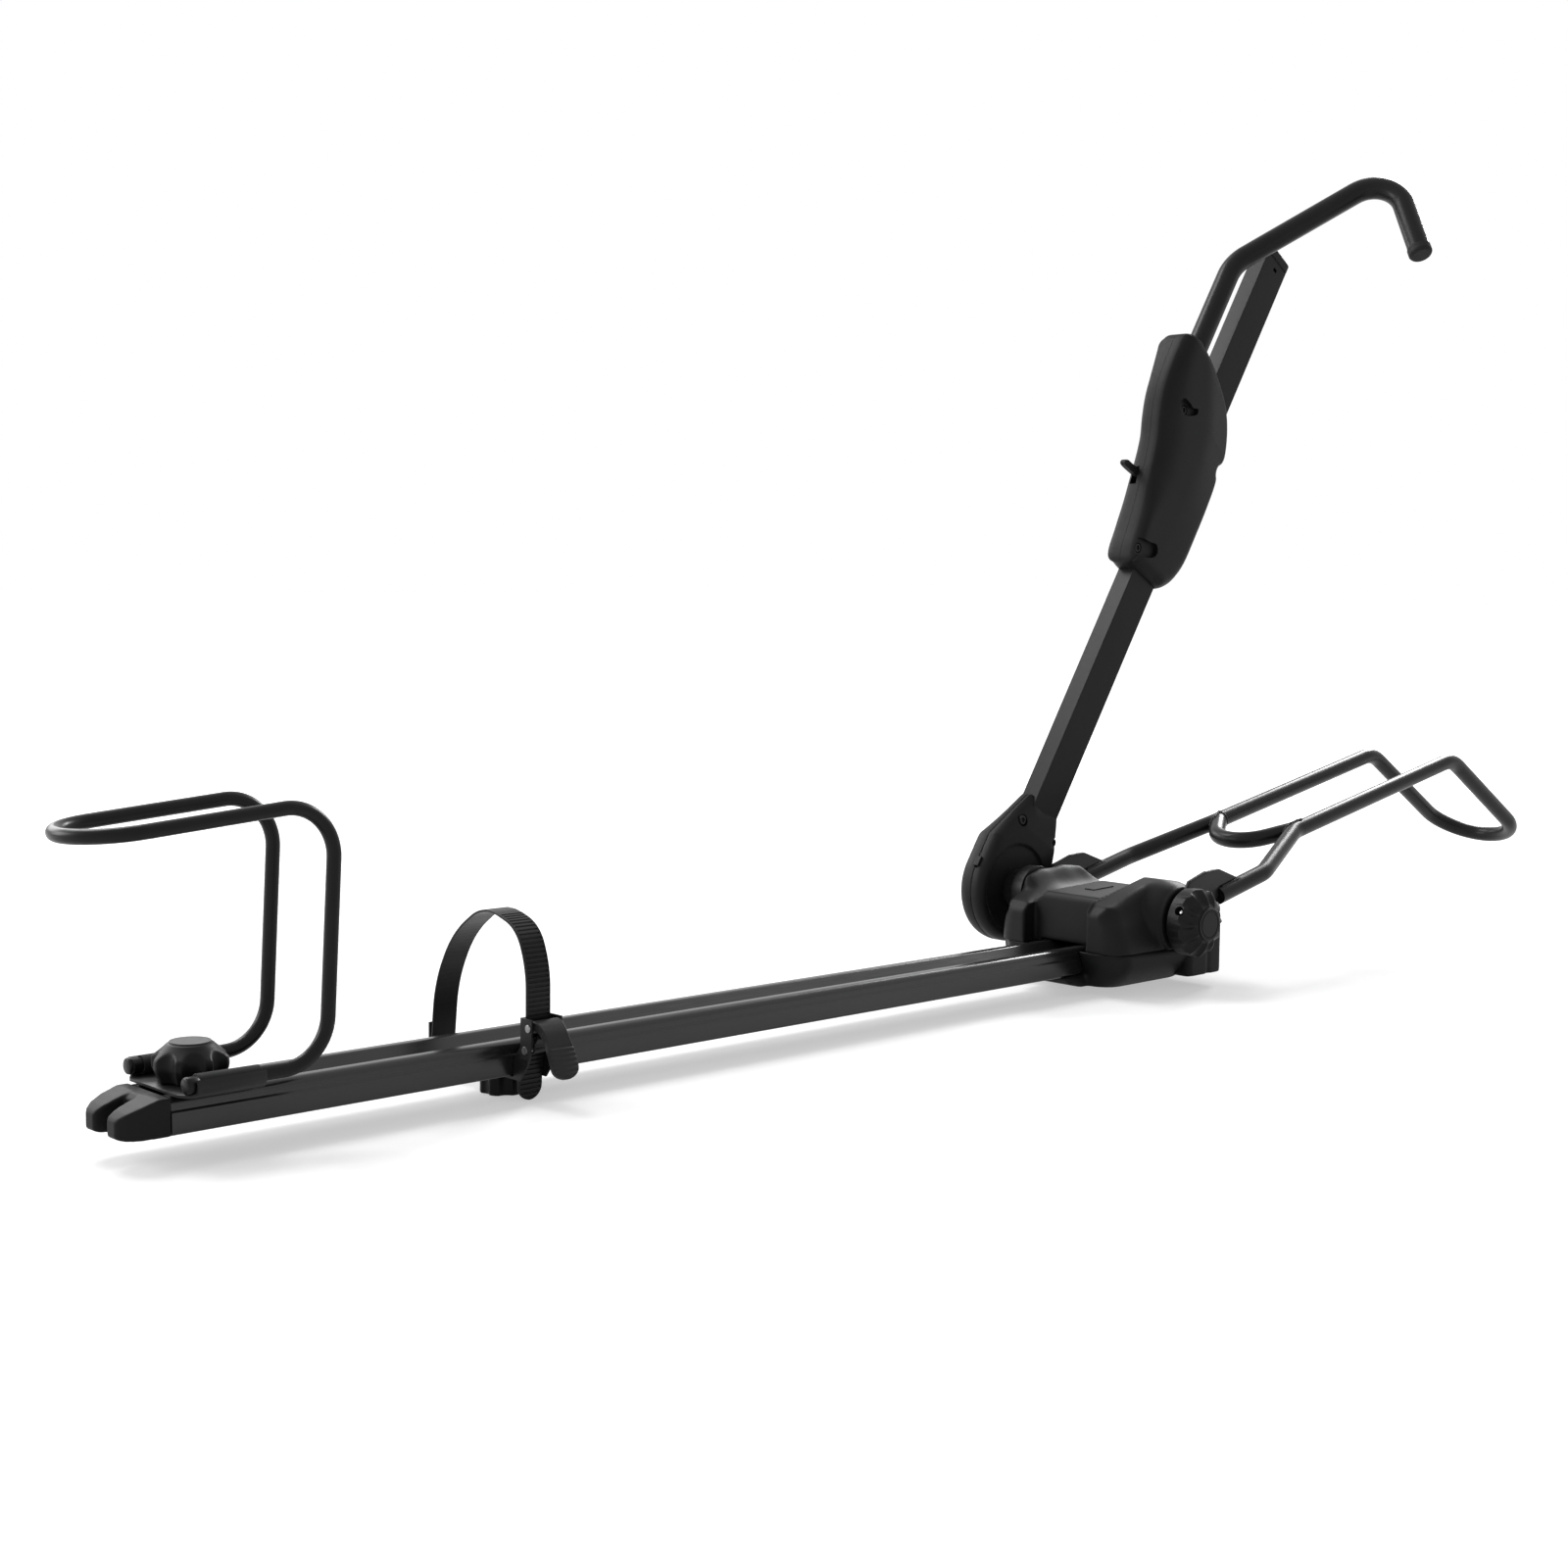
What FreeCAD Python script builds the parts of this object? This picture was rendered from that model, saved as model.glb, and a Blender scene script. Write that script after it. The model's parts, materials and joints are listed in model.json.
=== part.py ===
# Folding bike carrier for a roof bar: a rail with a rear wheel strap and a rear hoop,
# a moulded base, a tilting front wheel cradle, and a folding mast with a sliding wheel hook.
# Millimetres. +X runs along the rail towards the cradle, +Y towards the mast, +Z up.
# The origin is the middle of the base's underside, where the base sits on the roof bar.
import FreeCAD
import Part
import math
import os
import re
import types

import Sketcher
from FreeCAD import Placement, Rotation, Vector

os.makedirs("parts", exist_ok=True)
doc = FreeCAD.newDocument("folding_bike_carrier")
sheet = doc.addObject("Spreadsheet::Sheet", "Sizes")
nodes = []

# The driving sizes: lengths in millimetres, angles in degrees
SIZES = {
    # Fits between pieces
    "face_gap": 0.3,
    "running_fit": 0.05,

    # Rail: an extruded tray with two rounded ridges, a slot above and a slot below
    "rail_start": -992,
    "rail_end": 60,
    "rail_low": 11,
    "rail_height": 26,
    "rail_width": 60,
    "rail_step": 1.2,
    "rail_step_drop": 9,
    "ridge_width": 8,
    "ridge_round": 3,
    "channel_depth": 8,
    "channel_floor_width": 16,
    "slot_opening": 9,
    "slot_inner": 15,
    "slot_lip": 2.5,
    "slot_depth": 5,
    "rail_wall": 2.2,

    # End cap
    "cap_length": 36,
    "cap_notch_width": 14,
    "cap_notch_depth": 22,
    "cap_tip_height": 11,
    "cap_chamfer": 13,
    "cap_peg": 14,

    # Hoop at the rear
    "hoop_rod_radius": 5.2,
    "hoop_end_x": -986,
    "hoop_low_x": -881,
    "hoop_top_x": -871.6,
    "hoop_turn_x": -1012,
    "hoop_half_width": 40.2,
    "hoop_toe_in": 2.2,
    "hoop_top_z": 227.7,
    "hoop_turn_z": 215.8,
    "hoop_bend": 35,
    "sleeve_wall": 1.4,
    "sleeve_length": 46,
    "sleeve_start_x": -979,

    # Hoop bracket and its knob
    "bracket_start_x": -990,
    "bracket_length": 65,
    "bracket_thick": 2.5,
    "bracket_flange": 10,
    "clamp_bolt_radius": 4,
    "hoop_knob_x": -962,
    "hoop_knob_radius": 26.5,
    "hoop_knob_height": 26,
    "hoop_knob_dome": 9,
    "hoop_knob_lobes": 8,
    "hoop_knob_disc_radius": 14,
    "hoop_knob_disc_height": 2,
    "scallop_radius": 9,
    "scallop_depth": 5,
    "nut_length": 26,

    # Rear wheel strap on its bracket under the rail
    "strap_x": -702,
    "strap_width": 22,
    "strap_thick": 1.8,
    "strap_far_y": 79.7,
    "strap_near_y": -43.6,
    "strap_top_z": 131,
    "strap_tail_z": -8,
    "strap_bracket_thick": 2.2,
    "bracket_far_rise": 26,
    "bracket_near_rise": 28,
    "strap_knob_radius": 17.5,
    "strap_knob_height": 16,

    # Ratchet buckle
    "buckle_top_z": 57,
    "buckle_bottom_z": 22,
    "buckle_wall": 1.5,
    "buckle_depth": 13,
    "buckle_lever_pin_z": 50,
    "buckle_pawl_pin_z": 33,
    "buckle_pin_radius": 1.6,
    "rivet_head_radius": 3,
    "buckle_lever_reach": 38,
    "buckle_lever_drop": 38,
    "buckle_lever_thick": 3,
    "buckle_pawl_length": 15,

    # Base shells
    "seam_z": 34,
    "shell_wall": 3,
    "base_floor": 4,
    "base_left_x": -55,
    "base_right_x": 78,
    "base_near_y": -77,
    "base_far_y": 74,
    "base_corner": 20,
    "base_foot_left_x": -44,
    "base_foot_right_x": 74,
    "base_foot_half": 56,
    "belly_x": -76,
    "recess_x": -38,
    "recess_half": 38,
    "cover_front_z": 82,
    "cover_peak_x": 31,
    "cover_peak_z": 103,
    "near_peak_drop": 4,
    "cover_back_z": 72,
    "saddle_z": 84,
    "saddle_rise": 3,
    "saddle_back_z": 68,
    "cover_round": 7,
    "plate_middle_x": 12,
    "plate_length": 30,
    "plate_width": 12,
    "plate_thick": 1,

    # Front foot under the cradle
    "foot_start_x": 78.4,
    "foot_end_x": 104,
    "foot_half": 81,
    "foot_low": 4,
    "foot_high": 66,
    "foot_round": 6,
    "cheek_start_x": 50,
    "cheek_high": 27,

    # Fastening holes in the underside
    "mount_spacing_x": 60,
    "mount_spacing_y": 80,
    "mount_hole_radius": 4.5,

    # Cradle pivot and its knob
    "pivot_x": 38,
    "pivot_z": 60.5,
    "pivot_bolt_radius": 6,
    "barrel_radius": 33,
    "far_boss_radius": 20,
    "plate_clear": 6.5,
    "cradle_plate_thick": 4,
    "knob_radius": 32.3,
    "knob_rim": 18,
    "knob_depth": 26.4,
    "knob_hub_radius": 16,
    "knob_petals": 12,
    "petal_groove": 8,
    "petal_lift": 6.2,
    "lock_bore_radius": 4.5,
    "lock_bore_depth": 7,
    "lock_plug_radius": 3,
    "lock_plug_length": 4,
    "lock_setback": 12,
    "lock_turn": 154,

    # Front wheel cradle
    "cradle_tube_radius": 8.5,
    "cradle_tube_wall": 1.6,
    "cradle_start_x": 90,
    "cradle_start_z": 80,
    "cradle_flare_x": 167,
    "cradle_flare_z": 97,
    "cradle_neck_x": 265.7,
    "cradle_neck_z": 128,
    "cradle_half_width": 51,
    "cradle_top_x": 573,
    "cradle_top_z": 187.8,
    "cradle_turn_x": 700,
    "cradle_turn_z": 113,
    "cradle_bend": 45,
    "cross_x": 246,
    "cross_sag": 17,
    "pivot_eye_radius": 17,

    # Mast hinge
    "hinge_x": -2.4,
    "hinge_z": 76.6,
    "mast_tilt": 32.7,
    "neck_radius": 19,
    "axle_radius": 10,
    "housing_clear": 9.5,
    "housing_near_half": 13,
    "housing_depth": 31,
    "housing_radius": 54,
    "housing_wall": 3,
    "housing_top": 94,
    "dish_radius": 44,
    "dish_depth": 2,
    "brake_disc_radius": 32,
    "brake_disc_thick": 4,

    # Mast
    "mast_width": 40,
    "mast_depth": 20,
    "mast_wall": 2,
    "mast_inset": 14,
    "mast_bottom": 38,
    "mast_top": 783,
    "mast_cap_height": 12,

    # Slider on the mast, and the wheel hook that it carries
    "slider_low": 363,
    "slider_high": 621,
    "slider_half": 22,
    "slider_wall": 3,
    "slider_front": 40,
    "slider_crown": 9,
    "lever_offset": 9,
    "lever_half": 4,
    "slider_guide_length": 30,
    "hook_tube_radius": 11.75,
    "hook_tube_wall": 2,
    "hook_offset": 53.6,
    "hook_low": 556,
    "hook_bend_along": 739.5,
    "hook_turn": 26,
    "hook_top_along": 895,
    "hook_top_out": 125,
    "hook_end_along": 805,
    "hook_end_out": 183,
    "hook_bend": 34,
    "hook_plug_length": 10,

    # Fasteners
    "screw_radius": 2.5,
    "screw_head_radius": 4.5,
    "screw_head_height": 3,
}
for row, (name, value) in enumerate(SIZES.items(), 1):
    sheet.set(f"A{row}", name)
    sheet.set(f"B{row}", str(value))
    sheet.setAlias(f"B{row}", name)
doc.recompute()
S = types.SimpleNamespace(**{name: float(sheet.get(name)) for name in SIZES})

# The cradle's plates stand clear of the base, the hinge housing clear of the far plate,
# and the mast's middle lies inside the housing
PLATE_HALF_Y = S.plate_clear - S.base_near_y
HOUSING_NEAR_Y = PLATE_HALF_Y + S.housing_clear
HOUSING_SEAM_Y = HOUSING_NEAR_Y + S.housing_near_half
HOUSING_FAR_Y = HOUSING_NEAR_Y + S.housing_depth
MAST_Y = HOUSING_NEAR_Y + S.mast_inset
MAST_MIDDLE = "plate_clear - base_near_y + housing_clear + mast_inset"


def formula(text):
    """Point each size name in a formula at the sheet."""
    def point(word):
        name = word.group()
        return "Sizes." + name if name in SIZES else name
    return re.sub(r"[a-z]\w*", point, str(text))


def bind(obj, bindings):
    """Bind properties of an object to formulas of sheet names."""
    for prop, text in bindings.items():
        obj.setExpression(prop, formula(text))
    return obj


def keep(obj, name):
    """Make an object a finished sub-part: its Label names its file."""
    obj.Label = name
    nodes.append(obj)
    return obj


AXIS_TURNS = {
    "X": Rotation(Vector(0, 1, 0), 90),
    "Y": Rotation(Vector(1, 0, 0), -90),
    "Z": Rotation(),
}


def box(name, x, y, z, length, width, height):
    """A block from its lowest corner."""
    obj = doc.addObject("Part::Box", name)
    return bind(obj, {"Length": length, "Width": width, "Height": height, "Placement.Base.x": x,
                      "Placement.Base.y": y, "Placement.Base.z": z})


def cylinder(name, axis, x, y, z, radius, height):
    """A round bar that starts at a point and runs along +X, +Y or +Z."""
    obj = doc.addObject("Part::Cylinder", name)
    obj.Placement = Placement(Vector(), AXIS_TURNS[axis])
    return bind(obj, {"Radius": radius, "Height": height, "Placement.Base.x": x,
                      "Placement.Base.y": y, "Placement.Base.z": z})


def fuse(name, *pieces):
    """Join pieces into one solid."""
    obj = doc.addObject("Part::MultiFuse", name)
    obj.Shapes = list(pieces)
    obj.Refine = True
    return obj


def cut(name, base, *tools):
    """Cut one or more tools out of a base."""
    obj = doc.addObject("Part::Cut", name)
    obj.Base = base
    obj.Tool = tools[0] if len(tools) == 1 else fuse(name + "_tools", *tools)
    return obj


def place_on_mast(obj, y="0"):
    """Stand a piece on the mast's own axes: local X across the mast, local Z along it."""
    obj.Placement = Placement(Vector(), Rotation(Vector(0, 1, 0), S.mast_tilt))
    return bind(obj, {"Placement.Base.x": "hinge_x", "Placement.Base.y": y, "Placement.Base.z": "hinge_z",
                      "Placement.Rotation.Angle": "mast_tilt"})


def outline_pad(name, role, loops, length, offset="0", middle=False):
    """A body: closed outlines of straight sides, each corner bound to the sheet, padded square to a plane."""
    body = doc.addObject("PartDesign::Body", name)
    sketch = body.newObject("Sketcher::SketchObject", name + "_sketch")
    sketch.AttachmentSupport = [(next(f for f in body.Origin.OriginFeatures if f.Role == role), "")]
    sketch.MapMode = "FlatFace"
    sketch.setExpression(".AttachmentOffset.Base.z", formula(offset))
    for corners in loops:
        first = sketch.GeometryCount
        count = len(corners)
        ring = [Vector(math.cos(2 * math.pi * k / count), math.sin(2 * math.pi * k / count), 0)
                for k in range(count)]
        for k in range(count):
            sketch.addGeometry(Part.LineSegment(ring[k], ring[(k + 1) % count]), False)
        for k in range(count):
            follower = first + (k + 1) % count
            sketch.addConstraint(Sketcher.Constraint("Coincident", first + k, 2, follower, 1))
        for k, (across, up) in enumerate(corners):
            for kind, text in (("DistanceX", across), ("DistanceY", up)):
                index = sketch.addConstraint(Sketcher.Constraint(kind, -1, 1, first + k, 1, 1.0))
                sketch.setExpression(f"Constraints[{index}]", formula(text))
    pad = body.newObject("PartDesign::Pad", name + "_pad")
    pad.Profile = sketch
    pad.SideType = "Symmetric" if middle else "One side"
    pad.setExpression("Length", formula(length))
    return body


def mirrored(corners):
    """One half of an outline and its mirror image across the middle, as one closed loop."""
    return list(corners) + [(f"-({across})", up) for across, up in reversed(corners)]


def shape_feature(name, shape):
    """A feature whose shape is worked out from sheet values."""
    obj = doc.addObject("Part::Feature", name)
    obj.Shape = shape
    return obj


def rounded_path(points, bends):
    """A wire of straight runs joined by tangent arcs; one bend radius for each inner point."""
    edges = []
    start = points[0]
    for k in range(1, len(points) - 1):
        before = (points[k - 1] - points[k]).normalize()
        after = (points[k + 1] - points[k]).normalize()
        turn = math.pi - before.getAngle(after)
        reach = bends[k - 1] * math.tan(turn / 2)
        enter = points[k] + before * reach
        leave = points[k] + after * reach
        centre_way = (before + after).normalize()
        middle = points[k] + centre_way * (bends[k - 1] / math.cos(turn / 2) - bends[k - 1])
        edges.append(Part.LineSegment(start, enter).toShape())
        edges.append(Part.Arc(enter, middle, leave).toShape())
        start = leave
    edges.append(Part.LineSegment(start, points[-1]).toShape())
    return edges


def swept(name, edges, section):
    """A closed section swept along a bent centre line."""
    spine = shape_feature(name + "_line", Part.Wire(edges))
    sweep = doc.addObject("Part::Sweep", name)
    sweep.Sections = [section]
    sweep.Spine = (spine, [f"Edge{k + 1}" for k in range(len(edges))])
    sweep.Solid = True
    sweep.Frenet = False
    return sweep


def bent_rod(name, edges, radius):
    """A round section swept along a bent centre line."""
    first = edges[0]
    ring = doc.addObject("Part::Circle", name + "_section")
    ring.setExpression("Radius", formula(radius))
    ring.Placement = Placement(first.valueAt(first.FirstParameter),
                               Rotation(Vector(0, 0, 1), first.tangentAt(first.FirstParameter)))
    return swept(name, edges, ring)


def rounded_corners(points, radius):
    """A closed flat wire through corner points, each corner rounded."""
    count = len(points)
    edges = []
    arcs = []
    for k in range(count):
        before = (points[k - 1] - points[k]).normalize()
        after = (points[(k + 1) % count] - points[k]).normalize()
        turn = math.pi - before.getAngle(after)
        reach = radius * math.tan(turn / 2)
        way = (before + after).normalize()
        middle = points[k] + way * (radius / math.cos(turn / 2) - radius)
        arcs.append((points[k] + before * reach, middle, points[k] + after * reach))
    for k in range(count):
        edges.append(Part.Arc(*arcs[k]).toShape())
        edges.append(Part.LineSegment(arcs[k][2], arcs[(k + 1) % count][0]).toShape())
    return Part.Wire(edges)


# Rail
def rail():
    half = "rail_width / 2"
    top = "rail_low + rail_height"
    floor = "rail_low + rail_height - channel_depth"
    right = [
        ("slot_opening / 2", "rail_low"),
        (f"{half} - ridge_round", "rail_low"),
        (half, "rail_low + ridge_round"),
        (half, f"{top} - rail_step_drop"),
        (f"{half} - rail_step", f"{top} - rail_step_drop + rail_step"),
        (f"{half} - rail_step", f"{top} - ridge_round"),
        (f"{half} - rail_step - ridge_round", top),
        (f"{half} - rail_step - ridge_round - ridge_width", top),
        (f"channel_floor_width / 2 + rail_step", floor),
        ("slot_opening / 2", floor),
        ("slot_opening / 2", f"{floor} - slot_lip"),
        ("slot_inner / 2", f"{floor} - slot_lip"),
        ("slot_inner / 2", f"{floor} - slot_depth"),
    ]
    slot_below = [
        ("slot_inner / 2", "rail_low + slot_lip + slot_depth"),
        ("slot_inner / 2", "rail_low + slot_lip"),
        ("slot_opening / 2", "rail_low + slot_lip"),
    ]
    outline = mirrored(slot_below + right)
    left_wall = "slot_inner / 2 + rail_wall"
    right_wall = f"{half} - rail_step - rail_wall"
    low = "rail_low + rail_wall"
    high = f"{floor} - rail_wall"
    hollow_right = [(left_wall, low), (right_wall, low), (right_wall, high), (left_wall, high)]
    hollow_left = [(f"-({across})", up) for across, up in reversed(hollow_right)]
    body = outline_pad("rail_body", "YZ_Plane", [outline, hollow_right, hollow_left],
                       "rail_end - rail_start", "rail_start")
    keep(body, "rail")


# End cap: two lobes with a notch between, and two pegs that plug the rail
def rail_end_cap():
    seam = "rail_start"
    top = "rail_low + rail_height"
    tip = "rail_start - cap_length"
    side = [
        (seam, "rail_low"),
        (seam, top),
        (f"{seam} - cap_length / 3", f"{top} - ridge_round / 3"),
        (tip, "rail_low + cap_tip_height"),
        (f"{tip} + cap_chamfer", "rail_low + 1"),
    ]
    block = outline_pad("cap_block", "XZ_Plane", [side], "rail_width", middle=True)
    notch = outline_pad("cap_notch", "XY_Plane", [[
        (f"{tip} - 1", "-cap_notch_width / 2"),
        (f"{tip} + cap_notch_depth", "-cap_notch_width / 6"),
        (f"{tip} + cap_notch_depth", "cap_notch_width / 6"),
        (f"{tip} - 1", "cap_notch_width / 2"),
    ]], "rail_low + rail_height + 5")
    wall = "slot_inner / 2 + rail_wall + face_gap"
    peg_width = f"rail_width / 2 - rail_step - rail_wall - face_gap - ({wall})"
    peg_height = "rail_height - channel_depth - 2 * rail_wall - 2 * face_gap"
    pegs = [
        box("cap_peg_far", seam, wall, "rail_low + rail_wall + face_gap", "cap_peg", peg_width, peg_height),
        box("cap_peg_near", seam, f"-({wall}) - ({peg_width})", "rail_low + rail_wall + face_gap",
            "cap_peg", peg_width, peg_height),
    ]
    keep(fuse("cap", cut("cap_lobes", block, notch), *pegs), "rail_end_cap")


# Hoop: one bent rod, its two rubber sleeves, and the plate and knob that clamp it to the rail
def hoop_height():
    return S.rail_low + S.rail_height + S.bracket_thick + S.hoop_rod_radius + S.sleeve_wall


def rear_hoop():
    low = hoop_height()
    wide = S.hoop_half_width
    far = [
        Vector(S.hoop_end_x, wide - S.hoop_toe_in, low),
        Vector(S.hoop_low_x, wide, low),
        Vector(S.hoop_top_x, wide, S.hoop_top_z),
        Vector(S.hoop_turn_x, wide, S.hoop_turn_z),
    ]
    run = (far[3] - far[2]).normalize()
    tip = Vector(S.hoop_turn_x, 0, S.hoop_turn_z) + run * wide
    bends = [S.hoop_bend, S.hoop_bend]
    near = [Vector(point.x, -point.y, point.z) for point in far]
    edges = rounded_path(far, bends)
    edges.append(Part.Arc(far[3], tip, near[3]).toShape())
    edges += rounded_path(near[::-1], bends)
    keep(bent_rod("hoop_rod", edges, "hoop_rod_radius"), "rear_hoop")


def hoop_sleeves():
    low = hoop_height()
    sleeves = []
    for side in (1, -1):
        start = Vector(S.hoop_end_x, side * (S.hoop_half_width - S.hoop_toe_in), low)
        way = (Vector(S.hoop_low_x, side * S.hoop_half_width, low) - start).normalize()
        foot = start + way * (S.sleeve_start_x - S.hoop_end_x)
        outer = Part.makeCylinder(S.hoop_rod_radius + S.sleeve_wall, S.sleeve_length, foot, way)
        inner = Part.makeCylinder(S.hoop_rod_radius, S.sleeve_length, foot, way)
        sleeves.append(outer.cut(inner))
    keep(shape_feature("sleeves", Part.makeCompound(sleeves)), "hoop_sleeves")


def hoop_bracket():
    outside = "hoop_half_width + hoop_rod_radius + sleeve_wall + face_gap"
    top = "rail_low + rail_height"
    right = [
        (f"{outside} + bracket_thick", top),
        (f"{outside} + bracket_thick", f"{top} + bracket_flange"),
        (outside, f"{top} + bracket_flange"),
        (outside, f"{top} + bracket_thick"),
    ]
    plate = outline_pad("bracket_plate", "YZ_Plane", [mirrored(right)], "bracket_length", "bracket_start_x")
    hole = cylinder("bracket_hole", "Z", "hoop_knob_x", "0", f"{top} - 1", "clamp_bolt_radius + running_fit",
                    "bracket_thick + 2")
    keep(cut("bracket", plate, hole), "hoop_bracket")


def slot_nut(name, x, low):
    """A nut that slides in a slot of the rail."""
    return box(name, f"{x} - nut_length / 2", "-slot_inner / 2 + face_gap", low, "nut_length",
               "slot_inner - 2 * face_gap", "slot_depth - slot_lip - face_gap")


def hoop_clamp():
    nut_low = "rail_low + rail_height - channel_depth - slot_depth + face_gap / 2"
    top = "rail_low + rail_height + bracket_thick"
    keep(slot_nut("nut_above", "hoop_knob_x", nut_low), "hoop_slot_nut")
    nut_top = f"{nut_low} + slot_depth - slot_lip - face_gap"
    stud = cylinder("stud_above", "Z", "hoop_knob_x", "0", nut_top, "clamp_bolt_radius",
                    f"{top} + hoop_knob_height * 0.6 - ({nut_top})")
    keep(stud, "hoop_stud")


def hoop_knob():
    """A hand knob: a round blank with a domed top and finger scallops, a bore for its stud, and a disc on top."""
    low = "rail_low + rail_height + bracket_thick + face_gap"
    foot = Vector(S.hoop_knob_x, 0, S.rail_low + S.rail_height + S.bracket_thick + S.face_gap)
    straight = S.hoop_knob_height - S.hoop_knob_dome
    blank = Part.makeCylinder(S.hoop_knob_radius, straight, foot)
    dome = Part.makeCone(S.hoop_knob_radius, S.hoop_knob_disc_radius + 3, S.hoop_knob_dome,
                         foot + Vector(0, 0, straight))
    reach = S.hoop_knob_radius + S.scallop_radius - S.scallop_depth
    count = round(S.hoop_knob_lobes)
    scallops = []
    for k in range(count):
        angle = 2 * math.pi * (k + 0.5) / count
        centre = foot + Vector(math.cos(angle), math.sin(angle), 0) * reach
        scallops.append(Part.makeCylinder(S.scallop_radius, S.hoop_knob_height, centre))
    grip = shape_feature("hoop_knob_grip", blank.fuse(dome).cut(scallops).removeSplitter())
    bore = cylinder("hoop_knob_bore", "Z", "hoop_knob_x", "0", low, "clamp_bolt_radius + running_fit",
                    "hoop_knob_height * 0.65")
    disc_low = f"{low} + hoop_knob_height - hoop_knob_disc_height / 2"
    disc = cylinder("disc", "Z", "hoop_knob_x", "0", disc_low, "hoop_knob_disc_radius", "hoop_knob_disc_height")
    keep(cut("hoop_knob_bored", cut("hoop_knob_seated", grip, disc), bore), "hoop_knob")
    keep(disc, "hoop_knob_disc")


# Rear wheel strap: a plastic band over the wheel, from the bracket's far end into the buckle
def strap_route():
    corners = [
        (S.strap_far_y, S.rail_low),
        (S.strap_far_y - 6, S.strap_top_z - 64),
        (S.strap_far_y - 29, S.strap_top_z - 23),
        (S.strap_far_y - 70, S.strap_top_z + 4),
        (S.strap_near_y + 12, S.strap_top_z - 9),
        (S.strap_near_y, S.strap_top_z - 39),
        (S.strap_near_y, S.buckle_top_z - 13),
        (-S.rail_width / 2 - 4, S.buckle_bottom_z),
        (-S.rail_width / 2 - 3, S.strap_tail_z),
    ]
    return [Vector(S.strap_x, y, z) for y, z in corners]


def smooth_bends(points):
    """A bend radius for each inner point, as large as its two runs allow."""
    bends = []
    for k in range(1, len(points) - 1):
        before = points[k - 1] - points[k]
        after = points[k + 1] - points[k]
        turn = math.pi - before.getAngle(after)
        bends.append(0.45 * min(before.Length, after.Length) / math.tan(turn / 2))
    return bends


def wheel_strap():
    route = strap_route()
    edges = rounded_path(route, smooth_bends(route))
    side = Vector(S.strap_width / 2, 0, 0)
    edge = Vector(0, S.strap_thick / 2, 0)
    corners = [route[0] + side + edge, route[0] + side - edge, route[0] - side - edge, route[0] - side + edge]
    section = shape_feature("strap_section", Part.makePolygon(corners + corners[:1]))
    keep(swept("strap_band", edges, section), "wheel_strap")


def prong(name, x, corners):
    """A flat plate across the rail, square to X."""
    return outline_pad(name, "YZ_Plane", [corners], "buckle_wall", x)


def strap_bracket():
    top = "rail_low - face_gap"
    low = f"{top} - strap_bracket_thick"
    far_y = "strap_far_y + strap_thick / 2"
    near_y = "-rail_width / 2 - face_gap"
    half = "strap_width / 2 + face_gap + buckle_wall"
    strip = box("bracket_strip", f"strap_x - ({half})", near_y, low, f"2 * ({half})",
                f"{far_y} + strap_bracket_thick - ({near_y})", "strap_bracket_thick")
    far_end = box("bracket_far_end", f"strap_x - strap_width / 2", far_y, low, "strap_width",
                  "strap_bracket_thick", "bracket_far_rise")
    corners = [
        ("-rail_width / 2 + 6", low),
        ("-rail_width / 2 - 8", low),
        ("strap_near_y - 4.5", "buckle_bottom_z"),
        ("strap_near_y - 6.5", "buckle_bottom_z + bracket_near_rise - 12"),
        ("strap_near_y + 2", "buckle_bottom_z + bracket_near_rise - 12"),
        (near_y, "buckle_bottom_z + 2"),
        (near_y, top),
        ("-rail_width / 2 + 6", top),
    ]
    prongs = [prong("prong_left", f"strap_x - ({half})", corners),
              prong("prong_right", f"strap_x + ({half}) - buckle_wall", corners)]
    hole = cylinder("strap_hole", "Z", "strap_x", "0", f"{low} - 1", "clamp_bolt_radius + running_fit",
                    "strap_bracket_thick + 2")
    pin = cylinder("prong_pin_hole", "X", f"strap_x - ({half}) - 1", "strap_near_y - 3", "buckle_pawl_pin_z",
                   "buckle_pin_radius + running_fit", f"2 * ({half}) + 2")
    keep(cut("strap_carrier", fuse("strap_plate", strip, far_end, *prongs), hole, pin), "strap_bracket")


def strap_clamp():
    nut_low = "rail_low + slot_lip + face_gap"
    keep(slot_nut("nut_below", "strap_x", nut_low), "strap_slot_nut")
    low = "rail_low - face_gap - strap_bracket_thick - face_gap - strap_knob_height"
    stud = cylinder("stud_below", "Z", "strap_x", "0", f"{low} + strap_knob_height * 0.4", "clamp_bolt_radius",
                    f"{nut_low} - ({low}) - strap_knob_height * 0.4")
    keep(stud, "strap_stud")
    blank = cylinder("strap_knob_blank", "Z", "strap_x", "0", low, "strap_knob_radius", "strap_knob_height")
    flutes = []
    foot = S.rail_low - 2 * S.face_gap - S.strap_bracket_thick - S.strap_knob_height
    for k in range(6):
        angle = math.pi / 3 * k
        reach = S.strap_knob_radius + S.scallop_radius / 2
        centre = Vector(S.strap_x + reach * math.cos(angle), reach * math.sin(angle), foot)
        flutes.append(Part.makeCylinder(S.scallop_radius * 0.8, S.strap_knob_height, centre))
    tools = shape_feature("strap_knob_flutes", Part.makeCompound(flutes))
    bore = cylinder("strap_knob_bore", "Z", "strap_x", "0", f"{low} + strap_knob_height * 0.35",
                    "clamp_bolt_radius + running_fit", "strap_knob_height")
    keep(cut("strap_knob_bored", cut("strap_knob_fluted", blank, tools), bore), "strap_knob")


# Buckle: a stamped frame, two rivets, a lever that ratchets the band in, and a pawl that holds it
LEVER_PIN_Y = "strap_near_y - 7.1"
PAWL_PIN_Y = "strap_near_y - 3"


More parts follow.
